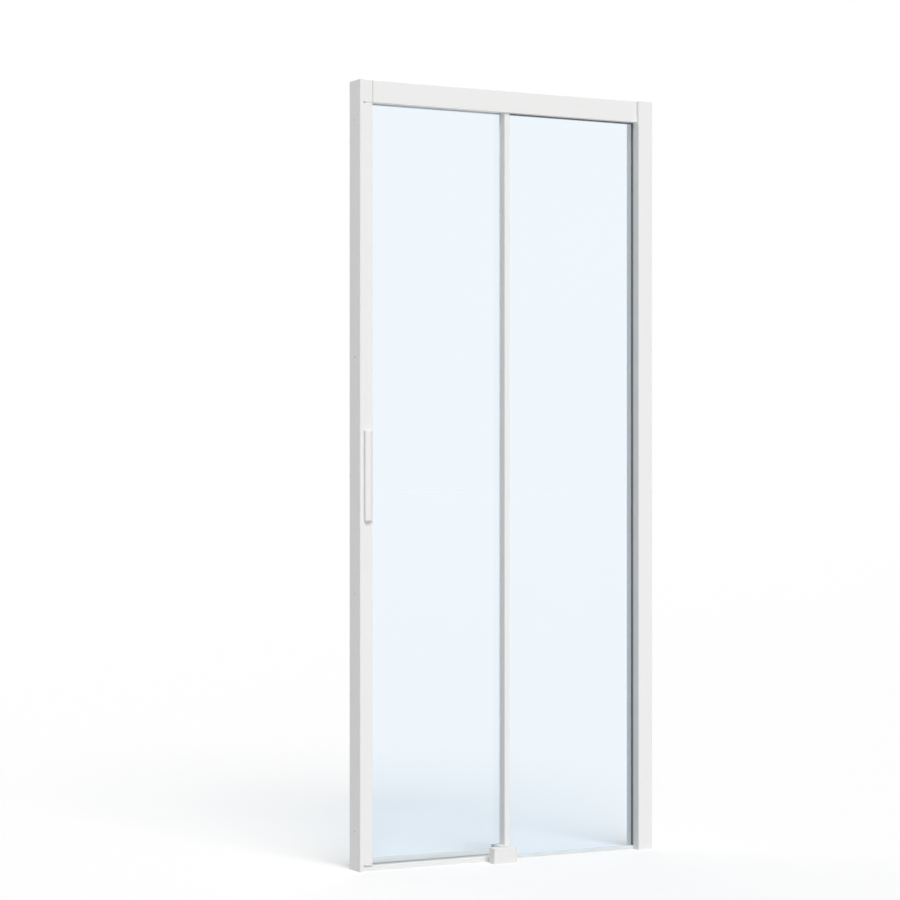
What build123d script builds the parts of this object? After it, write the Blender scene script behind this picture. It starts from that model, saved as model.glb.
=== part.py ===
from build123d import *
import os

# A two-part sliding shower door for a niche between two walls.
# A fixed pane stands on the right. In front of the doorway on the left hangs a leaf, which rolls
# to the right on four wheels inside the header and passes behind the fixed pane.
# Millimetres. X runs from the left wall to the right wall, Y from the room into the shower and Z up.
# The origin is on the left wall, on the centre line of the wall profile, at the top of the tray.

# Overall sizes
OPENING_WIDTH = 870.0
DOOR_HEIGHT = 2000.0

# Aluminium sections
WALL = 1.8
HEADER_WALL = 2.0
CORNER = 0.8
NEST_GAP = 0.2
RUNNING_GAP = 0.5

# Wall profiles, which are screwed to the walls, and the cover profiles that slide over them
WALL_PROFILE_LEFT = 8.0
WALL_PROFILE_RIGHT = 20.0
COVER_PLAY = 0.7
COVER_REVEAL = 0.4
POCKET_PLAY = 2.4
WALL_SCREW_R = 2.5
WALL_SCREW_OUTER_SPACING = 1800.0
WALL_SCREW_INNER_SPACING = 600.0

# Panes and seals
GLASS = 6.0
GLASS_ARRIS = 0.5
GASKET = 1.0
SEAL_WALL = 1.2
LIP = 1.2
LIP_GAP = 0.4
LIP_FOOT = 6.0
FIXED_GLASS_SETBACK = 29.0
PANE_GAP = 7.0
GLAZING_BITE = 16.0

# Header rail: its height and depth come from the leaf's rail and the wheels that it holds
HEADER_SETBACK = 10.0
HEADER_GLAZING_DEPTH = 19.0
HEADER_HEAD_ROOM = 8.8
CAP_PAST_STILE = 3.2
HEADER_JOINT = 1.0
TRACK_THICKNESS = 3.0
TRACK_EDGE = 0.2
TRACK_LIP = 1.2
KEEPER_WIDTH = 3.0
KEEPER_GAP = 1.5

# Fixed stile on the free edge of the fixed pane
STILE_WIDTH = 15.0
STILE_LEFT_OF_CENTRE = 2.0
STILE_SETBACK = 15.0
STILE_WEB = 4.5
STILE_PLUG_LENGTH = 24.0

# Closing magnets
MAGNET_WIDTH = 12.0
MAGNET_THICKNESS = 3.0
LEAF_MAGNET_THICKNESS = 2.1
MAGNET_GAP = 0.4
MAGNET_SETBACK = 20.0
MAGNET_END_INSET = 3.0

# Leaf
LEAF_OVERLAP = 26.5
LEAF_STILE_SETBACK = 4.0
LEAF_STILE_WALL = 2.0
LEAF_STILE_WIDTH = 21.0
STRIKE_TO_LIP = 1.0
LEAF_BITE = 12.0
LEAF_GLASS_BOTTOM = 16.0
LEAF_STILE_FOOT = 1.0
LEAF_HEAD_GAP = 2.0
STILE_CAP = 2.0
PARK_GAP = 32.0
GUIDE_STOP_GAP = 30.0
SEAL_CLIP = 9.0
TRAILING_LIP_INSET = 6.0
DRIP_CLIP = 12.0

# Handles
HANDLE_LENGTH = 230.0
HANDLE_HEIGHT = 1000.0
HANDLE_WIDTH = 24.5
HANDLE_PROJECTION = 11.0
HANDLE_RIDGE = 0.35
INNER_HANDLE_WIDTH = 20.0
INNER_HANDLE_PROJECTION = 14.0
HANDLE_END_ROUND = 4.0
HANDLE_BOLT_R = 2.0
HANDLE_BOLT_SPACING = 160.0
HANDLE_BOLT_DEPTH = 7.0
HANDLE_BORE_DEPTH = 8.0

# Leaf top rail, carriages and wheels
RAIL_WALL = 1.0
RAIL_WEB = 3.0
RAIL_GLASS_DEPTH = 12.0
RAIL_LIFT = 5.0
RAIL_END_GAP = 3.0
RAIL_TRACK_GAP = 0.8
CARRIAGE_LENGTH = 76.0
CARRIAGE_HEIGHT = 22.0
CARRIAGE_THICKNESS = 8.0
CARRIAGE_INSET = 65.0
CARRIAGE_ROUND = 2.0
WHEEL_SPACING = 50.0
WHEEL_R = 11.0
WHEEL_WIDTH = 6.0
WHEEL_ROUND = 0.8
WHEEL_TRACK_GAP = 0.2
WHEEL_SIDE_GAP = 0.3
BEARING_R = 8.0
BEARING_WIDTH = 5.0
AXLE_R = 2.5
AXLE_FIT = 0.05
AXLE_SHOULDER_R = 4.0
AXLE_HEAD = 1.6
AXLE_HEAD_GAP = 1.1
AXLE_END_COVER = 1.0
ADJUSTER_R = 2.5
ADJUSTER_HEAD_R = 4.5
ADJUSTER_HEAD = 3.0

# End stops on the track
STOP_LENGTH = 18.0
STOP_HEIGHT = 18.0
STOP_LIFT = 1.0
STOP_ROUND = 1.0
BUFFER_R = 4.0
BUFFER_LENGTH = 4.0
BUFFER_GAP = 0.3

# Floor guide and threshold
GUIDE_HEAD_WIDTH = 67.0
GUIDE_HEAD_DEPTH = 28.0
GUIDE_HEAD_HEIGHT = 40.0
GUIDE_HEAD_PROJECTION = 40.0
GUIDE_HEAD_LEFT_OF_STILE = 34.8
GUIDE_COVER_WALL = 2.0
GUIDE_COVER_ROUND = 2.0
GUIDE_COVER_TOP_ROUND = 1.2
GUIDE_TONGUE_WIDTH = 37.0
GUIDE_TONGUE_HEIGHT = 38.0
GUIDE_TONGUE_RIGHT_OF_STILE = 3.5
GUIDE_REAR_JAW = 6.0
GUIDE_FLOOR = 1.0
SHOE_WALL = 2.0
GUIDE_SCREW_R = 2.25
GUIDE_SCREW_HEAD_R = 4.5
GUIDE_SCREW_SEAT = 6.0
GUIDE_SCREW_SPACING = 40.0
THRESHOLD_HEIGHT = 14.0
THRESHOLD_DEPTH = 28.0
THRESHOLD_SETBACK = 8.0
THRESHOLD_BASE = 3.0
THRESHOLD_LIP = 5.0
SILL_WALL = 1.5
SILL_WEB = 3.0
SILL_HEIGHT = 10.0

# Screws and connectors
SCREW_R = 2.0
SCREW_HEAD_R = 4.0
SCREW_HEAD = 3.0
SCREW_END_COVER = 4.0
SCREW_CLEARANCE = 0.1
HEADER_SCREW_LENGTH = 16.0
HEADER_SCREW_PLACES = (12.0, 28.0)
STOP_HEAD = 2.5
CLAMP_SCREW_R = 1.5
CLAMP_SCREW_LENGTH = 5.0
CLAMP_HEAD_R = 3.2
CLAMP_HEAD = 1.5
CLAMP_CAP_R = 4.5
CLAMP_CAP = 2.5
CLAMP_CAP_ROUND = 0.6
CLAMP_EDGE = 3.0
CLAMP_EDGE_RIGHT = 13.0
CLAMP_SCREW_END_DISTANCE = 150.0
CONNECTOR_LENGTH = 40.0
CONNECTOR_SEAT = 6.0
CONNECTOR_SCREW_END = 5.0
CONNECTOR_SCREW_INSET = 15.0

# How far a cutting shape reaches past the face that it cuts
CUT = 1.0

# The frame's depth, from the panes, the leaf's rail, the wheels and the walls behind each other
TRACK_WIDTH = TRACK_EDGE + WHEEL_WIDTH + WHEEL_SIDE_GAP + AXLE_HEAD + AXLE_HEAD_GAP
LEAF_BACK_SETBACK = FIXED_GLASS_SETBACK + GLASS + PANE_GAP + GLASS
FRAME_DEPTH = LEAF_BACK_SETBACK + GASKET + RAIL_WALL + RAIL_TRACK_GAP + TRACK_WIDTH + HEADER_WALL
FRONT = -FRAME_DEPTH / 2
BACK = FRAME_DEPTH / 2
FIXED_Y0 = FRONT + FIXED_GLASS_SETBACK
FIXED_Y1 = FIXED_Y0 + GLASS
LEAF_Y0 = FIXED_Y1 + PANE_GAP
LEAF_Y1 = LEAF_Y0 + GLASS
LEAF_Y = (LEAF_Y0 + LEAF_Y1) / 2
SLOT_Y0 = FIXED_Y0 - GASKET
SLOT_Y1 = FIXED_Y1 + GASKET
HEADER_FRONT = FRONT + HEADER_SETBACK
ROLLER_SPACE_FRONT = SLOT_Y1 + HEADER_WALL
TRACK_FRONT = BACK - HEADER_WALL - TRACK_WIDTH
WHEEL_Y = TRACK_FRONT + TRACK_EDGE + WHEEL_WIDTH / 2
CARRIAGE_Y0 = LEAF_Y - CARRIAGE_THICKNESS / 2
CARRIAGE_Y1 = LEAF_Y + CARRIAGE_THICKNESS / 2

# Heights: the header is as high as the leaf's rail, the wheels and the room above them need
RAIL_HEIGHT = RAIL_GLASS_DEPTH + GASKET + RAIL_WEB
TRACK_HEIGHT = RAIL_LIFT + RAIL_HEIGHT + STOP_LIFT
HEADER_HEIGHT = TRACK_HEIGHT + WHEEL_TRACK_GAP + 2 * WHEEL_R + HEADER_HEAD_ROOM + HEADER_WALL
CENTRE_Z = DOOR_HEIGHT / 2
HEADER_Z = DOOR_HEIGHT - HEADER_HEIGHT
HEADER_TOP_INSIDE = DOOR_HEIGHT - HEADER_WALL
HEADER_SLOT_Z = HEADER_Z + HEADER_GLAZING_DEPTH
TRACK_TOP = HEADER_Z + TRACK_HEIGHT
WHEEL_Z = TRACK_TOP + WHEEL_TRACK_GAP + WHEEL_R
RAIL_Z0 = HEADER_Z + RAIL_LIFT
RAIL_Z1 = RAIL_Z0 + RAIL_HEIGHT
LEAF_GLASS_TOP = RAIL_Z0 + RAIL_GLASS_DEPTH
LEAF_STILE_Z0 = LEAF_GLASS_BOTTOM + LEAF_STILE_FOOT
LEAF_STILE_Z1 = HEADER_Z - LEAF_HEAD_GAP - STILE_CAP
FIXED_GLASS_TOP = HEADER_SLOT_Z - GASKET

# Places across the doorway, from the left wall to the right one
STRIKE_WIDTH = WALL_PROFILE_LEFT + COVER_PLAY + WALL
LEAF_STILE_X0 = STRIKE_WIDTH + MAGNET_THICKNESS + MAGNET_GAP + LEAF_MAGNET_THICKNESS
LEAF_STILE_X1 = LEAF_STILE_X0 + LEAF_STILE_WIDTH
LEAF_LIP_X = STRIKE_WIDTH + STRIKE_TO_LIP
LEAF_SLOT_X = LEAF_STILE_X1 - LEAF_BITE
CAP_X1 = LEAF_STILE_X1 + CAP_PAST_STILE
HEADER_X0 = CAP_X1 + HEADER_JOINT
STILE_X = OPENING_WIDTH / 2 - STILE_LEFT_OF_CENTRE
STILE_X0 = STILE_X - STILE_WIDTH / 2
STILE_X1 = STILE_X + STILE_WIDTH / 2
STILE_SLOT_X = STILE_X0 + STILE_WEB
FIXED_GLASS_X0 = STILE_SLOT_X + GASKET
FIXED_GLASS_X1 = OPENING_WIDTH - WALL_PROFILE_RIGHT - POCKET_PLAY - WALL - GASKET
GLAZING_X = FIXED_GLASS_X1 - GLAZING_BITE - WALL
LEAF_GLASS_X0 = LEAF_SLOT_X + GASKET
LEAF_GLASS_X1 = STILE_X0 + LEAF_OVERLAP
RAIL_X0 = LEAF_STILE_X1 + RAIL_END_GAP
RAIL_X1 = LEAF_GLASS_X1 - RAIL_END_GAP
CARRIAGE_X = (RAIL_X0 + CARRIAGE_INSET, RAIL_X1 - CARRIAGE_INSET)
WHEEL_X = [x + side * WHEEL_SPACING / 2 for x in CARRIAGE_X for side in (-1, 1)]

# The guide on the tray
GUIDE_X1 = STILE_X1 + GUIDE_TONGUE_RIGHT_OF_STILE
GUIDE_X0 = GUIDE_X1 - GUIDE_TONGUE_WIDTH
HEAD_X = STILE_X - GUIDE_HEAD_LEFT_OF_STILE
HEAD_X0 = HEAD_X - GUIDE_HEAD_WIDTH / 2
HEAD_X1 = HEAD_X + GUIDE_HEAD_WIDTH / 2
HEAD_Y0 = FRONT - GUIDE_HEAD_PROJECTION
HEAD_Y1 = HEAD_Y0 + GUIDE_HEAD_DEPTH
SHOE_Y0 = LEAF_Y0 - SEAL_WALL - RUNNING_GAP - SHOE_WALL
SHOE_Y1 = LEAF_Y1 + SEAL_WALL + RUNNING_GAP + SHOE_WALL

# The fixed stile and the leaf's closing stile, front to back
STILE_Y0 = FRONT + STILE_SETBACK
STILE_Y1 = SLOT_Y1 + HEADER_WALL
STILE_CHAMBER_Y0 = STILE_Y0 + WALL
STILE_CHAMBER_Y1 = SLOT_Y0 - WALL
STILE_SCREW_Y = (STILE_CHAMBER_Y0 + STILE_CHAMBER_Y1) / 2
LEAF_STILE_Y0 = FRONT + LEAF_STILE_SETBACK
LEAF_STILE_Y1 = LEAF_Y1 + GASKET + LEAF_STILE_WALL
HANDLE_BOLT_X = (LEAF_STILE_X0 + LEAF_SLOT_X) / 2
HANDLE_BOLT_Z = [HANDLE_HEIGHT + side * HANDLE_BOLT_SPACING / 2 for side in (-1, 1)]

# Screw places that the joined pieces share
WALL_SCREW_SPACINGS = (WALL_SCREW_OUTER_SPACING, WALL_SCREW_INNER_SPACING)
WALL_SCREW_Z = [CENTRE_Z + side * spacing / 2 for spacing in WALL_SCREW_SPACINGS for side in (-1, 1)]
CLAMP_SCREW_Z = [CLAMP_SCREW_END_DISTANCE, CENTRE_Z, DOOR_HEIGHT - CLAMP_SCREW_END_DISTANCE]
CLAMP_X = {"left": WALL_PROFILE_LEFT - CLAMP_EDGE, "right": OPENING_WIDTH - CLAMP_EDGE_RIGHT}
CONNECTOR_X = {
    "left": (STRIKE_WIDTH + HEADER_WALL, LEAF_STILE_X1 + CONNECTOR_LENGTH),
    "right": (GLAZING_X - CONNECTOR_LENGTH, GLAZING_X),
}
CONNECTOR_Y0 = HEADER_FRONT + HEADER_WALL + NEST_GAP
CONNECTOR_Y1 = SLOT_Y0 - HEADER_WALL - NEST_GAP
CONNECTOR_Y = (CONNECTOR_Y0 + CONNECTOR_Y1) / 2
CONNECTOR_SCREW_Z = (HEADER_Z + CONNECTOR_SCREW_INSET, DOOR_HEIGHT - CONNECTOR_SCREW_INSET)
HEADER_SCREW_X = [LEAF_STILE_X1 + place for place in HEADER_SCREW_PLACES]
HEADER_SCREW_X += [GLAZING_X - place for place in HEADER_SCREW_PLACES]

# The leaf opens until it parks beside the right profile, or its closing stile nears the guide
TRAVEL_TO_PARK = GLAZING_X - (LEAF_GLASS_X1 + SEAL_WALL) - PARK_GAP
TRAVEL_TO_GUIDE = GUIDE_X0 - LEAF_STILE_X1 - GUIDE_STOP_GAP
TRAVEL = min(TRAVEL_TO_PARK, TRAVEL_TO_GUIDE)

# Each end stop's buffer is just clear of the carriage when the leaf is at that end
STOP_REACH = CARRIAGE_LENGTH / 2 + BUFFER_GAP + BUFFER_LENGTH + STOP_LENGTH / 2
STOP_X = {"left": CARRIAGE_X[0] - STOP_REACH, "right": CARRIAGE_X[1] + TRAVEL + STOP_REACH}
STOP_SCREW_Y = TRACK_FRONT + TRACK_WIDTH / 2
STOP_SEAT_Z = TRACK_TOP + STOP_HEIGHT - SCREW_HEAD


def rect(u0, u1, v0, v1, radius=0):
    """A rectangle between two corners, its own corners rounded."""
    face = Pos((u0 + u1) / 2, (v0 + v1) / 2) * Rectangle(u1 - u0, v1 - v0)
    return fillet(face.vertices(), radius) if radius else face


def channel(u0, u1, v0, v1, wall, open_side):
    """A U section: a rectangle with a wall on every side but the open one."""
    left, right = u0 + wall * (open_side != "left"), u1 - wall * (open_side != "right")
    low, high = v0 + wall * (open_side != "down"), v1 - wall * (open_side != "up")
    return rect(u0, u1, v0, v1) - rect(left, right, low, high)


def upright(section, z0, z1):
    """Extrudes a section drawn in X and Y upwards."""
    return Pos(0, 0, z0) * extrude(section, z1 - z0, dir=(0, 0, 1))


def along_x(section, x0, x1):
    """Extrudes a section drawn in Y and Z to the right."""
    return Pos(x0, 0, 0) * extrude(Plane.YZ * section, x1 - x0, dir=(1, 0, 0))


def along_y(section, y0, y1):
    """Extrudes a section drawn in X and Z into the shower."""
    return Pos(0, y0, 0) * extrude(Plane.XZ * section, y1 - y0, dir=(0, 1, 0))


def block(x0, x1, y0, y1, z0, z1):
    return upright(rect(x0, x1, y0, y1), z0, z1)


def rod_x(y, z, radius, x0, x1):
    return along_x(Pos(y, z) * Circle(radius), x0, x1)


def rod_y(x, z, radius, y0, y1):
    return along_y(Pos(x, z) * Circle(radius), y0, y1)


def rod_z(x, y, radius, z0, z1):
    return upright(Pos(x, y) * Circle(radius), z0, z1)


def group(solids):
    """Separate solids kept together as one node."""
    return Compound([solid for piece in solids for solid in piece.solids()])


# Side profiles

def clamp_holes(side):
    """Holes for the screws that clamp a cover profile to the wall profile inside it."""
    radius = CLAMP_SCREW_R + SCREW_CLEARANCE
    return [
        rod_y(CLAMP_X[side], z, radius, BACK - CLAMP_SCREW_LENGTH - CUT, BACK + CUT)
        for z in CLAMP_SCREW_Z
    ]


def connector_holes(radius):
    """Holes along X for the screws that hold both ends of the header to the side profiles."""
    left = (STRIKE_WIDTH - WALL - CUT, CONNECTOR_X["left"][1] + CUT)
    right = (CONNECTOR_X["right"][0] - CUT, GLAZING_X + WALL + CUT)
    return [rod_x(CONNECTOR_Y, z, radius, *end) for end in (left, right) for z in CONNECTOR_SCREW_Z]


def wall_profile(x0, x1, side, open_side):
    """A U section with its web on the wall, bored for the wall screws and the clamping screws."""
    inset = WALL + NEST_GAP
    section = channel(x0, x1, FRONT + inset, BACK - inset, WALL, open_side)
    web_x = x0 if side == "left" else x1
    wall_bores = [rod_x(0, z, WALL_SCREW_R, web_x - WALL - CUT, web_x + WALL + CUT) for z in WALL_SCREW_Z]
    return upright(section, 0, DOOR_HEIGHT) - wall_bores - clamp_holes(side)


def wall_profile_left():
    return wall_profile(0, WALL_PROFILE_LEFT, "left", "right")


def wall_profile_right():
    return wall_profile(OPENING_WIDTH - WALL_PROFILE_RIGHT, OPENING_WIDTH, "right", "left")


def strike_profile():
    """The left cover profile, on which the leaf closes."""
    outer = rect(COVER_REVEAL, STRIKE_WIDTH, FRONT, BACK, CORNER)
    inner = rect(COVER_REVEAL - CUT, STRIKE_WIDTH - WALL, FRONT + WALL, BACK - WALL)
    profile = upright(outer - inner, 0, DOOR_HEIGHT)
    return profile - clamp_holes("left") - connector_holes(SCREW_R + SCREW_CLEARANCE)


def glazing_profile_right():
    """The right cover profile, with the pocket that holds the fixed pane."""
    outer = rect(GLAZING_X, OPENING_WIDTH - COVER_REVEAL, FRONT, BACK, CORNER)
    inner = rect(GLAZING_X + WALL, OPENING_WIDTH, FRONT + WALL, BACK - WALL)
    slot_x1 = FIXED_GLASS_X1 + GASKET
    pocket = channel(GLAZING_X, slot_x1 + WALL, SLOT_Y0 - WALL, SLOT_Y1 + WALL, WALL, "left")
    mouth = rect(GLAZING_X - CUT, slot_x1, SLOT_Y0, SLOT_Y1)
    profile = upright(outer - inner + pocket - mouth, 0, DOOR_HEIGHT)
    return profile - clamp_holes("right") - connector_holes(SCREW_R + SCREW_CLEARANCE)


def clamp_screws():
    solids = []
    for x in CLAMP_X.values():
        for z in CLAMP_SCREW_Z:
            shank = rod_y(x, z, CLAMP_SCREW_R, BACK - CLAMP_SCREW_LENGTH, BACK)
            solids.append(shank + rod_y(x, z, CLAMP_HEAD_R, BACK, BACK + CLAMP_HEAD))
    return group(solids)


def clamp_screw_caps():
    """Small round caps that hide the heads of the clamping screws."""
    recess = CLAMP_HEAD + SCREW_CLEARANCE
    solids = []
    for x in CLAMP_X.values():
        for z in CLAMP_SCREW_Z:
            cap = rod_y(x, z, CLAMP_CAP_R, BACK, BACK + CLAMP_CAP)
            rim = cap.faces().sort_by(Axis.Y)[-1].edges()
            cap = fillet(rim, CLAMP_CAP_ROUND)
            solids.append(cap - rod_y(x, z, CLAMP_HEAD_R + SCREW_CLEARANCE, BACK, BACK + recess))
    return group(solids)


# Closing magnets

def magnet_strip(x0, x1, radius=0):
    y0 = FRONT + MAGNET_SETBACK
    section = rect(x0, x1, y0, y0 + MAGNET_WIDTH, radius)
    return upright(section, LEAF_STILE_Z0 + MAGNET_END_INSET, LEAF_STILE_Z1 - MAGNET_END_INSET)


def strike_magnet_strip():
    return magnet_strip(STRIKE_WIDTH, STRIKE_WIDTH + MAGNET_THICKNESS, CORNER)


def leaf_magnet_seal():
    return magnet_strip(LEAF_STILE_X0 - LEAF_MAGNET_THICKNESS, LEAF_STILE_X0)


# Header

def header_section():
    """The extrusion's section in Y and Z: a front chamber, the glazing slot and the roller track."""
    front, floor = HEADER_FRONT + HEADER_WALL, HEADER_Z + HEADER_WALL
    outer = rect(HEADER_FRONT, BACK, HEADER_Z, DOOR_HEIGHT, CORNER)
    chamber = rect(front, SLOT_Y0 - HEADER_WALL, floor, HEADER_TOP_INSIDE)
    chamber += rect(front, SLOT_Y1, HEADER_SLOT_Z + HEADER_WALL, HEADER_TOP_INSIDE)
    glazing_slot = rect(SLOT_Y0, SLOT_Y1, HEADER_Z - CUT, HEADER_SLOT_Z)
    roller_space = rect(ROLLER_SPACE_FRONT, BACK - HEADER_WALL, floor, HEADER_TOP_INSIDE)
    roller_mouth = rect(ROLLER_SPACE_FRONT, TRACK_FRONT + TRACK_LIP, HEADER_Z - CUT, floor)
    track = rect(TRACK_FRONT, BACK - HEADER_WALL, TRACK_TOP - TRACK_THICKNESS, TRACK_TOP)
    keeper_foot = WHEEL_Z + WHEEL_R + KEEPER_GAP
    keeper = rect(
        WHEEL_Y - KEEPER_WIDTH / 2, WHEEL_Y + KEEPER_WIDTH / 2, keeper_foot, HEADER_TOP_INSIDE
    )
    return outer - chamber - glazing_slot - roller_space - roller_mouth + track + keeper


def header_screw_solids(clearance):
    """The countersunk screws that come down from the header's top, widened by a clearance."""
    shank, head = SCREW_R + clearance, SCREW_HEAD_R + clearance
    foot = DOOR_HEIGHT - HEADER_SCREW_LENGTH - clearance
    solids = []
    for x in HEADER_SCREW_X:
        cone = Pos(x, CONNECTOR_Y, DOOR_HEIGHT - HEADER_WALL / 2) * Cone(shank, head, HEADER_WALL)
        solids.append(cone + rod_z(x, CONNECTOR_Y, shank, foot, HEADER_TOP_INSIDE))
    return solids


def header_rail():
    rail = along_x(header_section(), HEADER_X0, GLAZING_X)
    track_bores = [
        rod_z(x, STOP_SCREW_Y, SCREW_R, TRACK_TOP - TRACK_THICKNESS - CUT, TRACK_TOP + CUT)
        for x in STOP_X.values()
    ]
    stile_bore = rod_z(
        STILE_X, STILE_SCREW_Y, SCREW_R + SCREW_CLEARANCE, HEADER_Z - CUT, HEADER_Z + HEADER_WALL + CUT
    )
    return rail - header_screw_solids(SCREW_CLEARANCE) - track_bores - stile_bore


def header_screws():
    return group(header_screw_solids(0))


def cap_section():
    """The end cap's section in Y and Z: as large as the header's, and open below for the leaf's rail."""
    outer = rect(HEADER_FRONT, BACK, HEADER_Z, DOOR_HEIGHT, CORNER)
    front_room = rect(HEADER_FRONT + HEADER_WALL, SLOT_Y1, HEADER_Z + HEADER_WALL, HEADER_TOP_INSIDE)
    leaf_room = rect(ROLLER_SPACE_FRONT, BACK - HEADER_WALL, HEADER_Z - CUT, HEADER_TOP_INSIDE)
    return outer - front_room - leaf_room


def header_end_cap():
    """The hollow cap between the left profile and the header, over the closing stile."""
    inside_x = STRIKE_WIDTH + HEADER_WALL
    end_wall = along_x(rect(HEADER_FRONT, BACK, HEADER_Z, DOOR_HEIGHT, CORNER), STRIKE_WIDTH, inside_x)
    cap = end_wall + along_x(cap_section(), inside_x, CAP_X1)
    return cap - connector_holes(SCREW_R + SCREW_CLEARANCE)


def header_joint_gasket():
    """The thin gasket in the joint between the end cap and the header."""
    return along_x(cap_section(), CAP_X1, HEADER_X0)


def header_connector(side):
    """The plug that slides into the front chamber and joins the header's end to the side profile."""
    x0, x1 = CONNECTOR_X[side]
    z0, z1 = HEADER_Z + HEADER_WALL + NEST_GAP, HEADER_TOP_INSIDE - NEST_GAP
    plug = block(x0, x1, CONNECTOR_Y0, CONNECTOR_Y1, z0, z1)
    well = (x0 + CONNECTOR_SEAT, x1 + CUT) if side == "left" else (x0 - CUT, x1 - CONNECTOR_SEAT)
    wells = [rod_x(CONNECTOR_Y, z, SCREW_HEAD_R + SCREW_CLEARANCE, *well) for z in CONNECTOR_SCREW_Z]
    return plug - wells - connector_holes(SCREW_R) - header_screw_solids(0)


def connector_screws():
    """Screws along X, out of the plugs and through the webs of the side profiles."""
    left_seat = CONNECTOR_X["left"][0] + CONNECTOR_SEAT
    right_seat = CONNECTOR_X["right"][1] - CONNECTOR_SEAT
    left_tip = STRIKE_WIDTH - CONNECTOR_SCREW_END
    right_tip = GLAZING_X + CONNECTOR_SCREW_END
    solids = []
    for z in CONNECTOR_SCREW_Z:
        left_head = rod_x(CONNECTOR_Y, z, SCREW_HEAD_R, left_seat, left_seat + SCREW_HEAD)
        right_head = rod_x(CONNECTOR_Y, z, SCREW_HEAD_R, right_seat - SCREW_HEAD, right_seat)
        solids.append(rod_x(CONNECTOR_Y, z, SCREW_R, left_tip, left_seat) + left_head)
        solids.append(rod_x(CONNECTOR_Y, z, SCREW_R, right_seat, right_tip) + right_head)
    return group(solids)


# Fixed pane

def fixed_glass():
    section = rect(FIXED_GLASS_X0, FIXED_GLASS_X1, FIXED_Y0, FIXED_Y1, GLASS_ARRIS)
    return upright(section, SILL_WEB, FIXED_GLASS_TOP)


def glazing_gasket_right():
    section = channel(GLAZING_X, FIXED_GLASS_X1 + GASKET, SLOT_Y0, SLOT_Y1, GASKET, "left")
    return upright(section, SILL_HEIGHT, HEADER_Z)


def glazing_gasket_top():
    section = channel(SLOT_Y0, SLOT_Y1, HEADER_Z, HEADER_SLOT_Z, GASKET, "down")
    return along_x(section, STILE_X1, GLAZING_X)


def sill_gasket():
    """The clear profile that the fixed pane stands in."""
    outer = rect(FIXED_Y0 - SILL_WALL, FIXED_Y1 + SILL_WALL, 0, SILL_HEIGHT)
    pane = rect(FIXED_Y0, FIXED_Y1, SILL_WEB, SILL_HEIGHT + CUT)
    return along_x(outer - pane, GUIDE_X1 + RUNNING_GAP, GLAZING_X)


def fixed_stile():
    outer = rect(STILE_X0, STILE_X1, STILE_Y0, STILE_Y1, CORNER)
    chamber = rect(STILE_X0 + WALL, STILE_X1 - WALL, STILE_CHAMBER_Y0, STILE_CHAMBER_Y1)
    slot = rect(STILE_SLOT_X, STILE_X1 + CUT, SLOT_Y0, SLOT_Y1)
    return upright(outer - chamber - slot, GUIDE_TONGUE_HEIGHT, HEADER_Z)


def stile_gasket():
    section = channel(STILE_SLOT_X, STILE_X1, SLOT_Y0, SLOT_Y1, GASKET, "right")
    return upright(section, GUIDE_TONGUE_HEIGHT, HEADER_Z)


def stile_screw(z_seat, up):
    """A screw that holds one end of the fixed stile, its head on the seat and its shank in the plug."""
    if up:
        tip = GUIDE_TONGUE_HEIGHT + STILE_PLUG_LENGTH - SCREW_END_COVER
        head = rod_z(STILE_X, STILE_SCREW_Y, SCREW_HEAD_R, z_seat - SCREW_HEAD, z_seat)
        return head + rod_z(STILE_X, STILE_SCREW_Y, SCREW_R, z_seat, tip)
    tip = HEADER_Z - STILE_PLUG_LENGTH + SCREW_END_COVER
    head = rod_z(STILE_X, STILE_SCREW_Y, SCREW_HEAD_R, z_seat, z_seat + SCREW_HEAD)
    return head + rod_z(STILE_X, STILE_SCREW_Y, SCREW_R, tip, z_seat)


def stile_screw_solids():
    return [stile_screw(GUIDE_SCREW_SEAT, True), stile_screw(HEADER_Z + HEADER_WALL, False)]


def stile_screws():
    return group(stile_screw_solids())


def stile_plugs():
    """Plugs in both ends of the stile's chamber, which take the screws from the guide and the header."""
    x0, x1 = STILE_X0 + WALL + NEST_GAP, STILE_X1 - WALL - NEST_GAP
    y0, y1 = STILE_CHAMBER_Y0 + NEST_GAP, STILE_CHAMBER_Y1 - NEST_GAP
    low = block(x0, x1, y0, y1, GUIDE_TONGUE_HEIGHT, GUIDE_TONGUE_HEIGHT + STILE_PLUG_LENGTH)
    high = block(x0, x1, y0, y1, HEADER_Z - STILE_PLUG_LENGTH, HEADER_Z)
    return group([plug - screw for plug, screw in zip((low, high), stile_screw_solids())])


def overlap_seal():
    """A lip seal on the back of the fixed stile, which closes the gap to the leaf."""
    foot_x = STILE_X0 + CORNER
    foot = rect(foot_x, foot_x + LIP_FOOT, STILE_Y1, STILE_Y1 + LIP)
    lip_x = foot_x + (LIP_FOOT - LIP) / 2
    lip = rect(lip_x, lip_x + LIP, STILE_Y1, LEAF_Y0 - LIP_GAP)
    return upright(foot + lip, GUIDE_TONGUE_HEIGHT + NEST_GAP, HEADER_Z - NEST_GAP)


# Floor guide and threshold

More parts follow.
